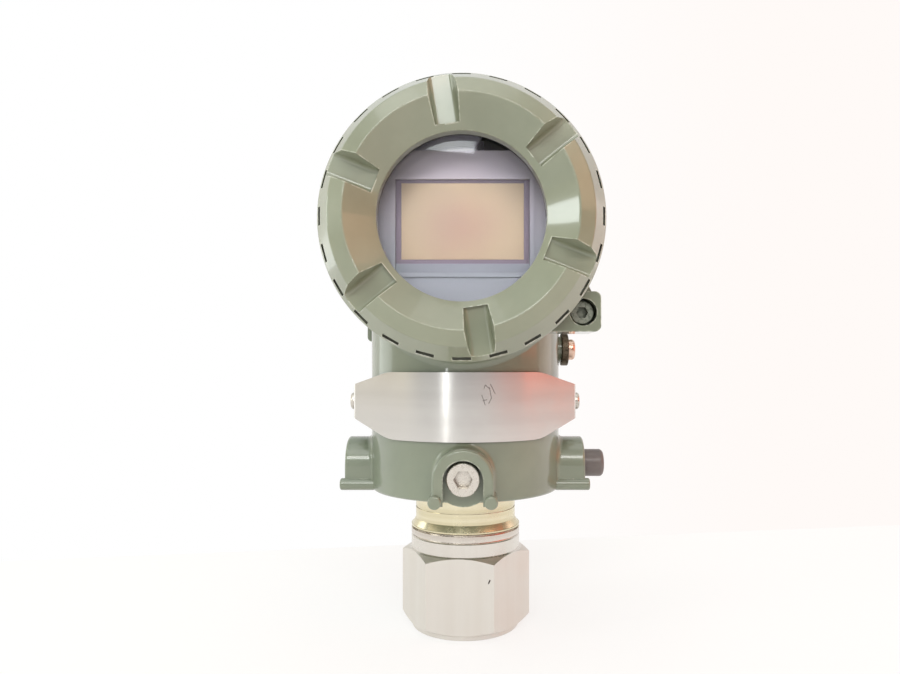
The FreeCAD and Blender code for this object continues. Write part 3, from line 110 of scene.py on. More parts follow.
# Share of the way round the walls (0 behind, 0.25 left, 0.5 in front, 0.75 right) and colour.
WALLS = (
    (0.00, (0.90, 0.90, 0.90)), (0.20, (0.88, 0.84, 0.74)), (0.29, (0.78, 0.69, 0.51)),
    (0.36, (0.45, 0.45, 0.42)), (0.425, (0.52, 0.53, 0.53)), (0.50, (0.36, 0.34, 0.35)),
    (0.57, (0.44, 0.33, 0.32)), (0.64, (0.62, 0.13, 0.08)), (0.72, (0.60, 0.14, 0.07)),
    (0.80, (0.60, 0.34, 0.22)), (0.88, (0.90, 0.86, 0.84)))
CEILING = (0.86, 0.90, 0.88, 1)
WHITE = (1.0, 1.0, 1.0, 1)

# Name, degrees right of the front, degrees of rise, metres away, width and height, level, colour.
LAMPS = (
    ("left_window", -70, 12, 1.0, (0.28, 0.20), 8.5, (0.93, 1.0, 1.0)),
    ("left_edge", -112, 5, 1.0, (0.5, 0.6), 1.2, (0.94, 1.0, 1.0)),
    ("right_edge", 114, 5, 1.0, (0.5, 0.6), 0.7, (1.0, 0.88, 0.86)),
    ("front_strip", -21, -1, 1.0, (0.035, 0.3), 10.0, (0.97, 1.0, 1.0)),
    ("display_light", 4, 28, 1.1, (0.9, 0.20), 8.0, (1.0, 0.99, 0.96)),
    ("ledge_glow", -12, 20.4, 1.1, (0.44, 0.10), 7.0, (0.94, 1.0, 0.98)),
    ("upper_left", -25, 50, 1.0, (0.6, 0.4), 1.6, (1.0, 1.0, 1.0)),
    ("warm_right", 84, 8, 0.9, (0.4, 0.3), 1.4, (1.0, 0.14, 0.05)),
    ("warm_front", 56, 26, 0.9, (0.4, 0.4), 1.6, (1.0, 0.56, 0.34)),
    ("top", 0, 80, 0.9, (0.6, 0.5), 0.8, (1.0, 1.0, 1.0)))
LAMP_AIM = Vector((0, -0.02, DRUM_AXIS.z))

CAMERA_AT = (4.6 * MM, -242 * MM, 87.8 * MM)
CAMERA_LENS, CAMERA_SENSOR = 28, 36         # millimetres
CAMERA_SHIFT = (-0.032, 0.0333)
CAMERA_NEAREST = 0.005

NOISE_SPAN = (0.3, 0.7)       # where most of a noise's values lie


# ------------------------------------------------------------ node helpers
def put(tree, kind, inputs=None, **settings):
    """A new node with its settings; each input is set to a value or linked to a socket."""
    made = tree.nodes.new(kind)
    for name, value in settings.items():
        setattr(made, name, value)
    for key, value in (inputs or {}).items():
        if isinstance(value, bpy.types.NodeSocket):
            tree.links.new(value, made.inputs[key])
        else:
            made.inputs[key].default_value = value
    return made


def maths(tree, operation, first, second, clamp=False):
    return put(tree, "ShaderNodeMath", {0: first, 1: second},
               operation=operation, use_clamp=clamp).outputs[0]


def plus(tree, first, second):
    return maths(tree, "ADD", first, second)


def minus(tree, first, second):
    return maths(tree, "SUBTRACT", first, second)


def times(tree, first, second):
    return maths(tree, "MULTIPLY", first, second)


def vectors(tree, operation, first, second):
    """Outputs of a sum on two vectors: 0 is the vector, "Value" the number."""
    return put(tree, "ShaderNodeVectorMath", {0: first, 1: second}, operation=operation).outputs


def axes(tree, vector):
    """The X, Y and Z of a vector."""
    return put(tree, "ShaderNodeSeparateXYZ", {0: vector}).outputs


def between(tree, value, low, high, start=0.0, end=1.0):
    """Value stretched smoothly from low..high to start..end."""
    return put(tree, "ShaderNodeMapRange", {
        "Value": value, "From Min": low, "From Max": high, "To Min": start, "To Max": end},
        interpolation_type="SMOOTHSTEP").outputs[0]


def noise(tree, vector, scale, detail=3.0, roughness=0.5):
    return put(tree, "ShaderNodeTexNoise", {
        "Vector": vector, "Scale": scale, "Detail": detail,
        "Roughness": roughness}).outputs["Fac"]


def mixed(tree, amount, first, second):
    """Colour mixed from first to second by amount."""
    return put(tree, "ShaderNodeMix", {"Factor": amount, 6: first, 7: second},
               data_type="RGBA").outputs[2]


def surface(tree, share, first, second):
    """Makes the material's surface a mix of two shaders by a share."""
    both = put(tree, "ShaderNodeMixShader", {0: share, 1: first, 2: second})
    tree.links.new(both.outputs[0], tree.nodes["Material Output"].inputs["Surface"])


def effect(name, outputs, **inputs):
    """Empty node group that takes a place and more inputs; gives its tree and both its sides."""
    tree = bpy.data.node_groups.new(name, "ShaderNodeTree")
    for label, default in {"Vector": (0.0, 0.0, 0.0), **inputs}.items():
        kind = "NodeSocketVector" if isinstance(default, tuple) else "NodeSocketFloat"
        socket = tree.interface.new_socket(label, in_out="INPUT", socket_type=kind)
        socket.default_value = default
    for label in outputs:
        tree.interface.new_socket(label, in_out="OUTPUT", socket_type="NodeSocketFloat")
    given, result = tree.nodes.new("NodeGroupInput"), tree.nodes.new("NodeGroupOutput")
    return tree, given.outputs, result.inputs


# ------------------------------------------------------------ effects that several finishes share
def make_sprayed_skin():
    """Orange peel and slow waviness of paint on a casting."""
    tree, given, result = effect("sprayed_skin", ("Height", "Tone"))
    peel = noise(tree, given["Vector"], 900.0, 2.0)
    wave = noise(tree, given["Vector"], 110.0, 2.0)
    cloud = noise(tree, given["Vector"], 38.0, 4.0, 0.6)
    tree.links.new(plus(tree, times(tree, peel, 0.35), wave), result["Height"])
    tree.links.new(cloud, result["Tone"])
    return tree


def make_worn_and_highlit_edge():
    """Mask of edges within a width, broken up so that only some of them are marked: rubbed wear,
    and on the paint a painted highlight along the edges.
    """
    tree, given, result = effect("worn_and_highlit_edge", ("Mask",), Width=0.4 * MM, Amount=0.5)
    rounded = put(tree, "ShaderNodeBevel", {"Radius": given["Width"]}, samples=4)
    flat = put(tree, "ShaderNodeNewGeometry").outputs["Normal"]
    alike = vectors(tree, "DOT_PRODUCT", rounded.outputs[0], flat)["Value"]
    edge = between(tree, alike, 0.99, 0.86)
    open_side = put(tree, "ShaderNodeAmbientOcclusion", {"Distance": 2 * MM},
                    samples=4, only_local=True)
    outer = between(tree, open_side.outputs["AO"], 0.72, 0.95)
    patches = noise(tree, given["Vector"], 420.0, 5.0, 0.7)
    limit = minus(tree, 1.0, given["Amount"])
    broken = between(tree, minus(tree, patches, limit), -0.04, 0.10)
    tree.links.new(times(tree, times(tree, edge, outer), broken), result["Mask"])
    return tree


def make_recess_dirt_and_shade():
    """Mask of corners and recesses, from ambient occlusion, where dirt gathers and shade falls:
    it paints dirt and painted shade.
    """
    tree, given, result = effect("recess_dirt_and_shade", ("Mask",), Reach=3 * MM)
    # ambient occlusion: this mask paints shade into recesses as well as dirt
    shade = put(tree, "ShaderNodeAmbientOcclusion", {"Distance": given["Reach"]},
                samples=4, only_local=True)
    deep = between(tree, shade.outputs["AO"], 0.85, 0.25)
    patches = noise(tree, given["Vector"], 160.0, 4.0, 0.6)
    broken = between(tree, patches, 0.3, 0.65, 0.35, 1.0)
    tree.links.new(times(tree, deep, broken), result["Mask"])
    return tree


def make_fine_grain():
    """Grain drawn out along one axis by a stretch, as brushing and turning leave it."""
    tree, given, result = effect(
        "fine_grain", ("Height", "Tone"), Stretch=(1.0, 1.0, 1.0), Scale=900.0)
    drawn = vectors(tree, "MULTIPLY", given["Vector"], given["Stretch"])[0]
    fine = noise(tree, drawn, given["Scale"], 4.0, 0.65)
    broad = noise(tree, drawn, times(tree, given["Scale"], 0.12), 3.0)
    tree.links.new(fine, result["Height"])
    tree.links.new(broad, result["Tone"])
    return tree


def make_handling():
    """Slow change of gloss from finger marks and haze."""
    tree, given, result = effect("handling", ("Mask",), Scale=70.0)
    warp = noise(tree, given["Vector"], given["Scale"], 5.0, 0.6)
    tree.links.new(between(tree, warp, 0.38, 0.68), result["Mask"])
    return tree


def make_scratch():
    """Mask of one straight scratch on the front, between two points given across and up."""
    tree, given, result = effect("scratch", ("Mask",), From=(0.0, 0.0, 0.0),
                                 To=(0.0, 0.0, 0.01), Width=0.15 * MM)
    depth = axes(tree, given["Vector"])["Y"]
    flat = vectors(tree, "MULTIPLY", given["Vector"], (1.0, 0.0, 1.0))[0]
    along = vectors(tree, "SUBTRACT", given["To"], given["From"])[0]
    away = vectors(tree, "SUBTRACT", flat, given["From"])[0]
    share = maths(tree, "DIVIDE", vectors(tree, "DOT_PRODUCT", away, along)["Value"],
                  vectors(tree, "DOT_PRODUCT", along, along)["Value"], clamp=True)
    foot = put(tree, "ShaderNodeVectorMath", {0: along, "Scale": share}, operation="SCALE")
    distance = vectors(tree, "DISTANCE", away, foot.outputs[0])["Value"]
    ragged = times(tree, noise(tree, given["Vector"], 2600.0), 0.2 * MM)
    edge = minus(tree, plus(tree, distance, ragged), given["Width"])
    mark = between(tree, edge, 0.12 * MM, 0.0)
    on_front = maths(tree, "LESS_THAN", depth, 0.0)
    tree.links.new(times(tree, mark, on_front), result["Mask"])
    return tree


EFFECTS = {
    "skin": make_sprayed_skin(),
    "edge": make_worn_and_highlit_edge(),
    "grime_and_shade": make_recess_dirt_and_shade(),
    "grain": make_fine_grain(),
    "handling": make_handling(),
    "scratch": make_scratch(),
}


# ------------------------------------------------------------ finishes
class Finish:
    """A material under construction: its tree, its surface shader and its object coordinates."""

    def __init__(self, name, values=None):
        self.material = bpy.data.materials.new(name)
        self.material.use_nodes = True
        self.tree = self.material.node_tree
        self.shader = self.tree.nodes["Principled BSDF"]
        self.place = put(self.tree, "ShaderNodeTexCoord").outputs["Object"]
        for key, value in (values or {}).items():
            self.shader.inputs[key].default_value = value

    def use(self, name, **inputs):
        """One of the shared effects, placed with its own values."""
        made = put(self.tree, "ShaderNodeGroup", node_tree=EFFECTS[name])
        self.tree.links.new(self.place, made.inputs["Vector"])
        for key, value in inputs.items():
            made.inputs[key].default_value = value
        return made.outputs

    def scratch(self, ends, width):
        """Mask of one scratch between two ends in millimetres across and up."""
        (from_x, from_z), (to_x, to_z) = ends
        return self.use("scratch", From=(from_x * MM, 0, from_z * MM),
                        To=(to_x * MM, 0, to_z * MM), Width=width)["Mask"]

    def link(self, socket, name):
        self.tree.links.new(socket, self.shader.inputs[name])

    def bump(self, height, distance, strength):
        made = put(self.tree, "ShaderNodeBump", {
            "Height": height, "Distance": distance, "Strength": strength})
        self.link(made.outputs["Normal"], "Normal")

    def tone(self, value, dark, light, span=NOISE_SPAN):
        """Colour that goes from dark to light as a value crosses a span."""
        return mixed(self.tree, between(self.tree, value, *span), dark, light)

    def marked(self, mask, amount, base, mark):
        """Base colour that a mask takes towards another by an amount."""
        return mixed(self.tree, times(self.tree, mask, amount), base, mark)

    def soiled_and_shaded(self, base, soil_and_shade, reach, amount):
        """Base colour with soil and painted shade in corners and recesses within a reach."""
        # the mask follows ambient occlusion, so the colour paints shade as well as dirt
        return self.marked(self.use("grime_and_shade", Reach=reach)["Mask"], amount, base, soil_and_shade)

    def handled(self, scale, spread, least):
        """Roughness that handling raises from its least by up to a spread."""
        haze = self.use("handling", Scale=scale)["Mask"]
        return plus(self.tree, times(self.tree, haze, spread), least)

    def link_roughness(self, value, least, most):
        """Roughness that follows a noise from least to most."""
        self.link(between(self.tree, value, *NOISE_SPAN, least, most), "Roughness")


def colour(red, green, blue):
    """Linear colour from the usual 0 to 255 values."""
    def linear(value):
        share = value / 255
        return share / 12.92 if share <= 0.04045 else ((share + 0.055) / 1.055) ** 2.4
    return (linear(red), linear(green), linear(blue), 1.0)


def casting_paint(name, dark, light):
    """Semi-gloss grey-green paint on a casting, chipped at some edges with a painted highlight
    there, dirty and darkened by painted shade in its recesses.
    """
    paint = Finish(name, {"Coat Weight": 1.0, "Coat Roughness": 0.08})
    skin = paint.use("skin")
    base = paint.tone(skin["Tone"], dark, light)
    grime_and_shade = paint.use("grime_and_shade", Reach=3.5 * MM)["Mask"]
    # dark brown in recesses by ambient occlusion: dirt and painted shade
    dirty_and_shaded = paint.marked(grime_and_shade, 0.25, base, colour(92, 84, 62))
    # pale edge colour: partly chipped paint, partly a painted highlight along the edges
    chips_and_highlights = paint.use("edge", Width=0.6 * MM, Amount=0.53)["Mask"]
    paint.link(mixed(paint.tree, chips_and_highlights, dirty_and_shaded, colour(200, 204, 188)), "Base Color")
    rough = paint.handled(55.0, 0.12, 0.30)
    paint.link(plus(paint.tree, rough, times(paint.tree, grime_and_shade, 0.25)), "Roughness")
    relief = minus(paint.tree, skin["Height"], times(paint.tree, chips_and_highlights, 0.8))
    paint.bump(relief, 0.05 * MM, 0.6)
    return paint.material


def turned_rings(steel):
    """Fine rings round the neck's axis."""
    return steel.use("grain", Stretch=(0.02, 0.02, 1.0), Scale=2600.0)


def satin_steel():
    """Hex with a satin finish, a smoother turned disc above it, and one small nick."""
    steel = Finish("satin_steel", {"Metallic": 1.0})
    height = axes(steel.tree, steel.place)["Z"]
    turned = between(steel.tree, height, HEX_TOP - 0.6 * MM, HEX_TOP - 0.3 * MM)
    milled = steel.use("grain", Stretch=(1.0, 1.0, 0.06), Scale=1300.0)
    rings = turned_rings(steel)
    base = steel.tone(milled["Tone"], colour(220, 215, 207), colour(224, 220, 213))
    nick = steel.scratch(HEX_NICK, 0.24 * MM)
    # dark brown in recesses: dirt and painted shade
    soiled_and_shaded = steel.soiled_and_shaded(base, colour(110, 92, 70), 2 * MM, 0.6)
    steel.link(mixed(steel.tree, nick, soiled_and_shaded, colour(60, 50, 45)), "Base Color")
    least = between(steel.tree, turned, 0.0, 1.0, 0.40, 0.22)
    steel.link(steel.handled(90.0, 0.08, least), "Roughness")
    both = put(steel.tree, "ShaderNodeMix", {
        "Factor": turned, 2: milled["Height"], 3: rings["Height"]})
    steel.bump(both.outputs[0], 0.008 * MM, 0.6)
    return steel.material


def turned_steel(name, dark, light, rough):
    """Bright turned steel with fine rings round the neck's axis."""
    steel = Finish(name, {"Metallic": 1.0})
    rings = turned_rings(steel)
    base = steel.tone(rings["Tone"], dark, light)
    # dark brown in recesses: dirt and painted shade
    steel.link(steel.soiled_and_shaded(base, colour(84, 66, 44), 1.5 * MM, 0.7), "Base Color")
    steel.link(steel.handled(120.0, 0.10, rough), "Roughness")
    steel.bump(rings["Height"], 0.02 * MM, 0.8)
    return steel.material


def brushed_sheet():
    """Nameplate sheet, brushed along its length, with dark scratches right of its middle."""
    sheet = Finish("brushed_sheet", {"Metallic": 1.0})
    grain = sheet.use("grain", Stretch=(0.03, 0.03, 1.0), Scale=1500.0)
    base = sheet.tone(grain["Tone"], colour(208, 205, 201), colour(214, 211, 207))
    marks = 0.0
    for ends in PLATE_SCRATCHES:
        marks = maths(sheet.tree, "MAXIMUM", sheet.scratch(ends, 0.14 * MM), marks)
    # dark brown in recesses: dirt and painted shade
    soiled_and_shaded = sheet.soiled_and_shaded(base, colour(120, 104, 84), 1.5 * MM, 0.4)
    sheet.link(sheet.marked(marks, 0.75, soiled_and_shaded, colour(84, 78, 76)), "Base Color")
    sheet.link(sheet.handled(60.0, 0.06, 0.20), "Roughness")
    relief = minus(sheet.tree, grain["Height"], times(sheet.tree, marks, 2.0))
    sheet.bump(relief, 0.006 * MM, 0.5)
    return sheet.material


def small_metal(name, dark, light, rough, soil_and_shade):
    """Small plain or plated metal piece with specks, rubbed edges, and dirt and painted shade in
    its recesses.
    """
    metal = Finish(name, {"Metallic": 1.0})
    specks = noise(metal.tree, metal.place, 1100.0, 4.0, 0.6)
    base = metal.tone(specks, dark, light, (0.30, 0.55))
    # recess colour by ambient occlusion: dirt and painted shade
    soiled_and_shaded = metal.soiled_and_shaded(base, soil_and_shade, 1.6 * MM, 0.95)
    rubbed = metal.use("edge", Width=0.2 * MM, Amount=0.5)["Mask"]
    metal.link(metal.marked(rubbed, 0.6, soiled_and_shaded, light), "Base Color")
    metal.link_roughness(specks, rough - 0.06, rough + 0.10)
    metal.bump(specks, 0.02 * MM, 0.4)
    return metal.material


def moulded(name, dark, light, rough):
    """Moulded plastic, rubber or resin with its fine skin."""
    plastic = Finish(name)
    skin = noise(plastic.tree, plastic.place, 700.0, 3.0, 0.6)
    cloud = noise(plastic.tree, plastic.place, 60.0)
    base = plastic.tone(cloud, dark, light)
    # dark brown in recesses: dirt and painted shade
    plastic.link(plastic.soiled_and_shaded(base, colour(70, 62, 54), 2 * MM, 0.3), "Base Color")
    plastic.link_roughness(cloud, rough - 0.05, rough + 0.05)
    plastic.bump(skin, 0.02 * MM, 0.6)
    return plastic.material


def circuit_board():
    """Coated board: green mask over a fine grid of copper runs."""
    board = Finish("circuit_board", {"Coat Weight": 0.4, "Coat Roughness": 0.1})
    runs = put(board.tree, "ShaderNodeTexBrick", {
        "Vector": board.place, "Scale": 420.0, "Mortar Size": 0.012, "Mortar Smooth": 0.1,
        "Color1": colour(24, 84, 50), "Color2": colour(30, 92, 56),
        "Mortar": colour(60, 120, 74)})
    board.link(runs.outputs["Color"], "Base Color")
    board.link_roughness(noise(board.tree, board.place, 200.0), 0.28, 0.42)
    board.bump(runs.outputs["Fac"], 0.03 * MM, 0.5)
    return board.material


def smooth_plastic(plastic, least, most):
    """Fine skin and roughness of the display's smooth plastic pieces."""
    skin = noise(plastic.tree, plastic.place, 800.0)
    plastic.link_roughness(skin, least, most)
    plastic.bump(skin, 0.01 * MM, 0.5)


def display_front():
    """Smooth grey front of the display, bluer towards its foot and lighter towards its top by
    painted light, and its ledge above painted pale as painted light.
    """
    front = Finish("display_front")
    height = axes(front.tree, front.place)["Z"]
    # painted light: the front is lighter towards its top, where the window's rim shades it
    upper = between(front.tree, height, DRUM_AXIS.z - 16 * MM, DRUM_AXIS.z + 16 * MM)
    base = mixed(front.tree, upper, colour(181, 202, 190), colour(222, 228, 214))
    # painted light: the ledge lies in shade behind the window and is painted near white
    ledge = maths(front.tree, "GREATER_THAN", height, DRUM_AXIS.z + LEDGE_UP)
    front.link(mixed(front.tree, ledge, base, colour(232, 242, 238)), "Base Color")
    smooth_plastic(front, 0.34, 0.44)
    return front.material


def frame_plastic():
    """Mauve frame of the screen, darker in a line round the glass, paler in the chin below it."""
    plastic = Finish("frame_plastic")
    height = axes(plastic.tree, plastic.place)["Z"]
    dark_end = SCREEN_LOW.z + FRAME_CHIN - FRAME_DARK
    band = between(plastic.tree, height, dark_end - 0.1 * MM, dark_end + 0.1 * MM)
    base = mixed(plastic.tree, band, colour(172, 190, 182), colour(146, 142, 142))
    plastic.link(base, "Base Color")
    smooth_plastic(plastic, 0.30, 0.40)
    return plastic.material


def screen_face():
    """Unlit reflective display: cream, with a painted iridescent sheen that turns it a little
    pink towards its middle.
    """
    face = Finish("screen_face")
    spread = vectors(face.tree, "DISTANCE", face.place, tuple(SCREEN_CENTRE))["Value"]
    cloud = noise(face.tree, face.place, 55.0, 2.0)
    reach = plus(face.tree, spread, times(face.tree, cloud, 10 * MM))
    # painted sheen: the pink towards the middle stands in for the screen's iridescence
    base = face.tone(reach, colour(231, 209, 164), colour(240, 230, 174), (4 * MM, 20 * MM))
    face.link(base, "Base Color")
    cells = put(face.tree, "ShaderNodeTexVoronoi", {"Vector": face.place, "Scale": 2200.0})
    rough = between(face.tree, cells.outputs["Distance"], 0.0, 0.6, 0.55, 0.65)
    face.link(rough, "Roughness")
    face.bump(cells.outputs["Distance"], 0.008 * MM, 0.4)
    return face.material


def window_pane():
    """Clear toughened glass with a faint violet cast, which lets the lamps through."""
    pane = Finish("window_pane", {"Transmission Weight": 1.0, "IOR": 1.5})
    haze = pane.use("handling", Scale=45.0)["Mask"]
    base = pane.tone(haze, colour(236, 228, 240), colour(232, 226, 240), (0.0, 1.0))
    pane.link(base, "Base Color")
    pane.link(between(pane.tree, haze, 0.0, 1.0, 0.01, 0.05), "Roughness")
    shadow_ray = put(pane.tree, "ShaderNodeLightPath").outputs["Is Shadow Ray"]
    clear = put(pane.tree, "ShaderNodeBsdfTransparent", {"Color": colour(238, 232, 242)})
    surface(pane.tree, shadow_ray, pane.shader.outputs[0], clear.outputs[0])
    return pane.material


# Dark and light tone; the turned steels and moulded pieces add their roughness, and the small
# metals their roughness and the colour of the dirt and painted shade in their recesses.
PAINTS = {
    # painted shade: the covers' paint, made darker on the housing to give the neck its shade
    "housing_paint_shaded": ((112, 121, 103), (122, 131, 112)),
    "cover_paint": ((123, 129, 108), (133, 139, 118)),
}
TURNED_STEELS = {
    "ring_steel": ((206, 198, 188), (226, 220, 212), 0.24),
    "straw_steel": ((216, 206, 172), (232, 224, 196), 0.20),
}
SMALL_METALS = {
    "screw_steel": ((176, 170, 160), (214, 208, 200), 0.34, (70, 56, 44)),
    "head_steel": ((206, 200, 190), (220, 214, 205), 0.28, (74, 58, 44)),
    # painted reflection: the stainless washer's dark tone stands in for the dark things it
    # reflects
    "washer_painted_dark_reflection": ((70, 62, 52), (104, 94, 80), 0.42, (34, 28, 22)),
    "copper_screw": ((196, 152, 128), (226, 196, 178), 0.30, (84, 48, 34)),
    "lock_steel": ((96, 100, 90), (142, 146, 134), 0.45, (26, 26, 24)),
    "bare_aluminium": ((150, 150, 150), (184, 184, 182), 0.35, (60, 56, 50)),
    "brass_plate": ((186, 168, 116), (214, 198, 150), 0.30, (76, 62, 36)),
}
MOULDED = {
    "adjuster_grey": ((98, 92, 90), (112, 105, 102), 0.38),
    "black_rubber": ((26, 26, 27), (38, 37, 37), 0.60),
    "black_plastic": ((34, 34, 36), (46, 46, 48), 0.45),
    # painted light: the amplifier case is near white to brighten it in the shade behind the
    # window
    "pale_plastic_painted_light": ((214, 222, 220), (226, 232, 230), 0.40),
    "cast_resin": ((22, 22, 24), (34, 33, 34), 0.25),
}


def make_finishes():
    """Every finish by its name."""
    made = {
        "satin_steel": satin_steel(),
        "brushed_sheet": brushed_sheet(),
        "circuit_board": circuit_board(),
        "display_front": display_front(),
        "frame_plastic": frame_plastic(),
        "screen_face": screen_face(),
        "window_pane": window_pane(),
    }
    for name, (dark, light) in PAINTS.items():
        made[name] = casting_paint(name, colour(*dark), colour(*light))
    for name, (dark, light, rough) in TURNED_STEELS.items():
        made[name] = turned_steel(name, colour(*dark), colour(*light), rough)
    for name, (dark, light, rough, soil_and_shade) in SMALL_METALS.items():
        made[name] = small_metal(name, colour(*dark), colour(*light), rough, colour(*soil_and_shade))
    for name, (dark, light, rough) in MOULDED.items():
        made[name] = moulded(name, colour(*dark), colour(*light), rough)
    return made


FINISHES = make_finishes()

NODE_FINISH = {
    # process connection and sensor
    "process_adapter": "satin_steel", "isolating_diaphragm": "ring_steel",
    "spacer_ring": "ring_steel", "sensor_body": "straw_steel",
    "pressure_sensor": "ring_steel", "sensor_board": "circuit_board",
    "sensor_socket": "black_plastic", "neck_o_ring": "black_rubber",
    # housing and what is fastened to it outside
    "housing": "housing_paint_shaded", "conduit_plug": "ring_steel",
    "nameplate": "brushed_sheet", "nameplate_screws": "screw_steel",
    "ground_washer": "washer_painted_dark_reflection", "ground_screw": "copper_screw",
    "clamp_screws": "head_steel",
    "zero_adjust_screw": "adjuster_grey", "zero_adjust_o_ring": "black_rubber",
    "front_lock_screw": "lock_steel", "rear_lock_screw": "lock_steel",
    # covers
    "front_cover": "cover_paint", "rear_cover": "cover_paint",
    "front_cover_o_ring": "black_rubber", "rear_cover_o_ring": "black_rubber",
    "front_window": "window_pane", "window_gasket": "black_rubber",
    "window_retainer": "bare_aluminium",
    # display and amplifier
    "display_case": "display_front", "display_screen": "screen_face",
    "display_board": "circuit_board", "display_screws": "screw_steel",
    "amplifier_case": "pale_plastic_painted_light", "amplifier_board": "circuit_board",
    "amplifier_screws": "screw_steel",
    # field terminals
    "feedthrough": "cast_resin", "terminal_block": "black_plastic",
    "terminal_plates": "brass_plate", "terminal_screws": "screw_steel",
    "block_screws": "screw_steel",
}


def dress_nodes():
    for name, finish in NODE_FINISH.items():
        for place in frame["nodes"][name].material_slots:
            place.material = FINISHES[finish]


# ------------------------------------------------------------ modelling helpers
def deselect():
    bpy.ops.object.select_all(action="DESELECT")


def select_front(piece):
    """In edit mode: selects only the faces that look forward."""
    bpy.ops.mesh.select_all(action="DESELECT")
    bpy.ops.object.mode_set(mode="OBJECT")
    for face in piece.data.polygons:
        face.select = face.normal.y < -0.9
    bpy.ops.object.mode_set(mode="EDIT")
    bpy.ops.mesh.select_mode(type="FACE")


def place_in_mesh(piece):
    """Puts the piece's place, turn and size into its mesh."""
    deselect()
    piece.select_set(True)
    bpy.context.view_layer.objects.active = piece
    bpy.ops.object.transform_apply(location=True, rotation=True, scale=True)


def done(piece, name, body, finish):
    """Names a finished piece, gives it its finish and lets it ride on its body."""
    place_in_mesh(piece)
    bpy.ops.object.shade_smooth_by_angle(angle=math.radians(35))
    piece.name = name
    piece.data.name = name
    piece.data.materials.clear()
    piece.data.materials.append(FINISHES[finish])
    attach(piece, body)
    return piece


def bevelled(piece, width):
    bevel = piece.modifiers.new("edge_round", "BEVEL")
    bevel.width = width
    bevel.segments = 2
    bevel.limit_method = "ANGLE"
    bpy.ops.object.modifier_apply(modifier=bevel.name)


# ------------------------------------------------------------ the screen
def screen_block(low, high):
    """Block between two corners, its place and size in its mesh."""
    deselect()
    bpy.ops.mesh.primitive_cube_add(size=1.0, location=(low + high) / 2, scale=high - low)
    piece = bpy.context.object
    place_in_mesh(piece)
    return piece


def glass_corners():
    """Lowest and highest corner of the opening in the screen's frame."""
    low = SCREEN_LOW + Vector((FRAME_BAND, 0, FRAME_CHIN))
    high = SCREEN_HIGH - Vector((FRAME_BAND, 0, FRAME_TOP))
    return low, high


def screen_frame():
    """Frame with a shallow recess for the glass, deeper below it than above."""
    frame_piece = screen_block(SCREEN_LOW, SCREEN_HIGH)
    low, high = glass_corners()
    opening = (high - low).z / ((SCREEN_HIGH - SCREEN_LOW).z - 2 * FRAME_BAND)
    bpy.ops.object.mode_set(mode="EDIT")
    select_front(frame_piece)
    bpy.ops.mesh.inset(thickness=FRAME_BAND)
    bpy.ops.transform.resize(value=(1, 1, opening), center_override=SCREEN_CENTRE)
    bpy.ops.transform.translate(value=(0, 0, (low.z + high.z) / 2 - SCREEN_CENTRE.z))
    bpy.ops.mesh.extrude_region_move(TRANSFORM_OT_translate={"value": (0, FRAME_RECESS, 0)})
    bpy.ops.object.mode_set(mode="OBJECT")
    bevelled(frame_piece, FRAME_ROUND)
    return done(frame_piece, "screen_frame", "housing", "frame_plastic")


def screen_glass():
    """Cream glass of the display, lying in the frame's recess."""
    low, high = glass_corners()
    margin = Vector((GLASS_GAP, 0, GLASS_GAP))
    low += margin
    high -= margin
    low.y = SCREEN_LOW.y + GLASS_SET_BACK
    high.y = SCREEN_LOW.y + FRAME_RECESS
    glass = screen_block(low, high)
    bevelled(glass, GLASS_ROUND)
    return done(glass, "screen_glass", "housing", "screen_face")


# ------------------------------------------------------------ threads
def thread_ridge(radius, height, width, pitch, length):
    """Helical ridge about Z that climbs from the origin; a height below zero points inwards."""
    deselect()
    bpy.ops.mesh.primitive_plane_add(size=1.0, location=(0, 0, 0))
    ridge = bpy.context.object
    foot = radius - math.copysign(RIDGE_SUNK, height)
    crest = radius + height
    profile = ((foot, -0.5), (foot, 0.5), (crest, -RIDGE_CREST), (crest, RIDGE_CREST))
    for vertex, (reach, up) in zip(ridge.data.vertices, profile):
        vertex.co = (reach, 0, up * width)
    turns = length / pitch
    screw = ridge.modifiers.new("screw", "SCREW")
    screw.axis = "Z"
    screw.angle = 2 * math.pi * turns
    screw.screw_offset = length
    screw.steps = screw.render_steps = int(STEPS_PER_TURN * turns)
    bpy.ops.object.modifier_apply(modifier=screw.name)
    bpy.ops.object.mode_set(mode="EDIT")
    bpy.ops.mesh.select_all(action="SELECT")
    bpy.ops.mesh.remove_doubles(threshold=1e-7)
    bpy.ops.mesh.fill_holes(sides=4)
    bpy.ops.mesh.normals_make_consistent(inside=False)
    bpy.ops.object.mode_set(mode="OBJECT")
    return ridge


def laid_along(piece, axis, start):
    """Turns a piece made about Z so that Z lies along an axis, and moves its origin to start."""
    piece.rotation_mode = "QUATERNION"
    piece.rotation_quaternion = Vector(axis).to_track_quat("Z", "Y")
    piece.location = start
    return piece


def pipe_thread(mount_name, name, body, finish):
    """Thread inside one of the two pipe ports, plain at each end."""
    mount = MOUNTS[mount_name]
    outward = Vector(mount["axis"])
    radius = mount["dims"]["r_mm"] * MM
    length = mount["dims"]["length_mm"] * MM - 2 * PIPE_LEAD_IN
    ridge = thread_ridge(radius, -PIPE_RIDGE, PIPE_RIDGE_W, PIPE_PITCH, length)
    deepest = Vector(mount["pos_m"]) - outward * (length + PIPE_LEAD_IN)
    return done(laid_along(ridge, outward, deepest), name, body, finish)


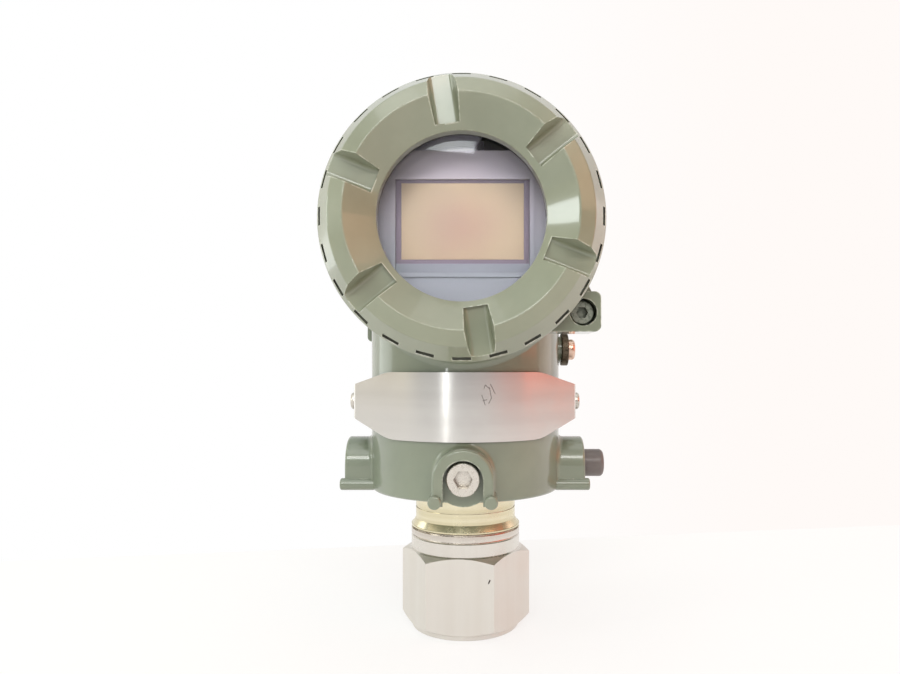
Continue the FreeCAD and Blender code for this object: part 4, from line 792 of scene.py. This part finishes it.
def cover_threads(side, sign):
    """Matching ridges on a cover's skirt and in the drum's mouth, half a pitch apart."""
    outward = Vector((0, sign, 0))
    start = outward * (THREAD_OUTER_Y - SKIRT_THREAD_L)
    start.z = DRUM_AXIS.z
    male = thread_ridge(SKIRT_R, COVER_RIDGE, COVER_RIDGE_W, COVER_PITCH, SKIRT_THREAD_L)
    done(laid_along(male, outward, start),
         side + "_cover_thread", side + "_cover", "bare_aluminium")
    female = thread_ridge(MOUTH_BORE_R, -COVER_RIDGE, COVER_RIDGE_W, COVER_PITCH,
                          MOUTH_THREAD_L)
    done(laid_along(female, outward, start - outward * COVER_PITCH / 2),
         side + "_mouth_thread", "housing", "bare_aluminium")


# ------------------------------------------------------------ floor and backdrop
def stage_material(name):
    """Material of a stage piece with no shader in it yet, and its tree."""
    material = bpy.data.materials.new(name)
    material.use_nodes = True
    tree = material.node_tree
    tree.nodes.remove(tree.nodes["Principled BSDF"])
    return material, tree


def pale_floor():
    """Plain pale floor that keeps the object's shadow."""
    deselect()
    bpy.ops.mesh.primitive_plane_add(size=FLOOR_SIZE, location=(0, 0, -FLOOR_DROP))
    floor = bpy.context.object
    floor.name = "floor"
    material, tree = stage_material("pale_floor")
    matt = put(tree, "ShaderNodeBsdfDiffuse", {"Color": (0.90, 0.89, 0.88, 1)})
    glow = put(tree, "ShaderNodeEmission", {"Color": (1.0, 0.995, 0.985, 1), "Strength": 1.0})
    path = put(tree, "ShaderNodeLightPath").outputs
    seen = maths(tree, "MAXIMUM", path["Is Camera Ray"], path["Is Glossy Ray"])
    seen = maths(tree, "MAXIMUM", seen, path["Is Transmission Ray"])
    surface(tree, times(tree, seen, FLOOR_GLOW), matt.outputs[0], glow.outputs[0])
    floor.data.materials.append(material)


def pale_backdrop():
    """White card behind the object, seen by the camera alone and only from its front."""
    deselect()
    bpy.ops.mesh.primitive_plane_add(
        size=1.0, location=CARD_AT, rotation=(math.radians(90), 0, CARD_TURN))
    card = bpy.context.object
    card.scale = CARD_SCALE
    card.name = "backdrop"
    material, tree = stage_material("pale_backdrop")
    across = axes(tree, put(tree, "ShaderNodeTexCoord").outputs["Object"])["X"]
    tint = mixed(tree, between(tree, across, -0.02, 0.06), WHITE, (1.0, 0.955, 0.93, 1))
    glow = put(tree, "ShaderNodeEmission", {"Color": tint, "Strength": 1.0})
    clear = put(tree, "ShaderNodeBsdfTransparent")
    back = put(tree, "ShaderNodeNewGeometry").outputs["Backfacing"]
    camera_ray = put(tree, "ShaderNodeLightPath").outputs["Is Camera Ray"]
    shown = times(tree, camera_ray, minus(tree, 1.0, back))
    surface(tree, shown, clear.outputs[0], glow.outputs[0])
    card.data.materials.append(material)


# ------------------------------------------------------------ light and camera
def studio_world():
    """Soft surround seen in metal and paint, and plain white where it is looked at."""
    world = bpy.data.worlds.new("studio")
    bpy.context.scene.world = world
    world.use_nodes = True
    tree = world.node_tree
    ray = axes(tree, put(tree, "ShaderNodeTexCoord").outputs["Generated"])
    angle = maths(tree, "ARCTAN2", ray["X"], times(tree, ray["Y"], -1.0))
    turn = plus(tree, maths(tree, "DIVIDE", angle, 2 * math.pi), 0.5)
    ramp = put(tree, "ShaderNodeValToRGB", {0: turn})
    stops = ramp.color_ramp.elements
    while len(stops) < len(WALLS):
        stops.new(0.5)
    for stop, (position, tint) in zip(stops, WALLS):
        stop.position = position
        stop.color = (*tint, 1)
    upwards = between(tree, ray["Z"], 0.40, 0.9)
    surround = mixed(tree, upwards, ramp.outputs["Color"], CEILING)
    path = put(tree, "ShaderNodeLightPath").outputs
    looked_at = maths(tree, "MAXIMUM", path["Is Camera Ray"], path["Is Transmission Ray"])
    background = tree.nodes["Background"]
    tree.links.new(mixed(tree, looked_at, surround, WHITE), background.inputs["Color"])
    background.inputs["Strength"].default_value = 1.0


def soft_lamp(name, azimuth, rise, away, size, level, tint):
    """Rectangular lamp that faces the drum from an angle right of the front and a rise."""
    across, up = math.radians(azimuth), math.radians(rise)
    towards = Vector((math.sin(across) * math.cos(up), -math.cos(across) * math.cos(up),
                      math.sin(up)))
    data = bpy.data.lights.new(name, "AREA")
    data.shape = "RECTANGLE"
    data.size, data.size_y = size
    data.energy = level * math.pi * size[0] * size[1]
    data.color = tint
    lamp = bpy.data.objects.new(name, data)
    bpy.context.scene.collection.objects.link(lamp)
    lamp.location = LAMP_AIM + towards * away
    lamp.rotation_euler = (-towards).to_track_quat("-Z", "Y").to_euler()


def front_camera():
    """Level camera in front of the neck; its lens is shifted to take in the whole height."""
    data = bpy.data.cameras.new("front_camera")
    data.lens = CAMERA_LENS
    data.sensor_width = CAMERA_SENSOR
    data.shift_x, data.shift_y = CAMERA_SHIFT
    data.clip_start = CAMERA_NEAREST
    camera = bpy.data.objects.new("front_camera", data)
    bpy.context.scene.collection.objects.link(camera)
    camera.location = CAMERA_AT
    camera.rotation_euler = (math.radians(90), 0, 0)
    bpy.context.scene.camera = camera


# ------------------------------------------------------------ the scene
dress_nodes()
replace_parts(screen_frame(), "display_screen")
screen_glass()
pipe_thread("process_port", "process_port_thread", "base", "ring_steel")
pipe_thread("conduit_port", "conduit_port_thread", "housing", "bare_aluminium")
cover_threads("front", -1)
cover_threads("rear", 1)
pale_floor()
pale_backdrop()
studio_world()
for lamp_values in LAMPS:
    soft_lamp(*lamp_values)
front_camera()
bpy.context.scene.view_settings.view_transform = "Standard"
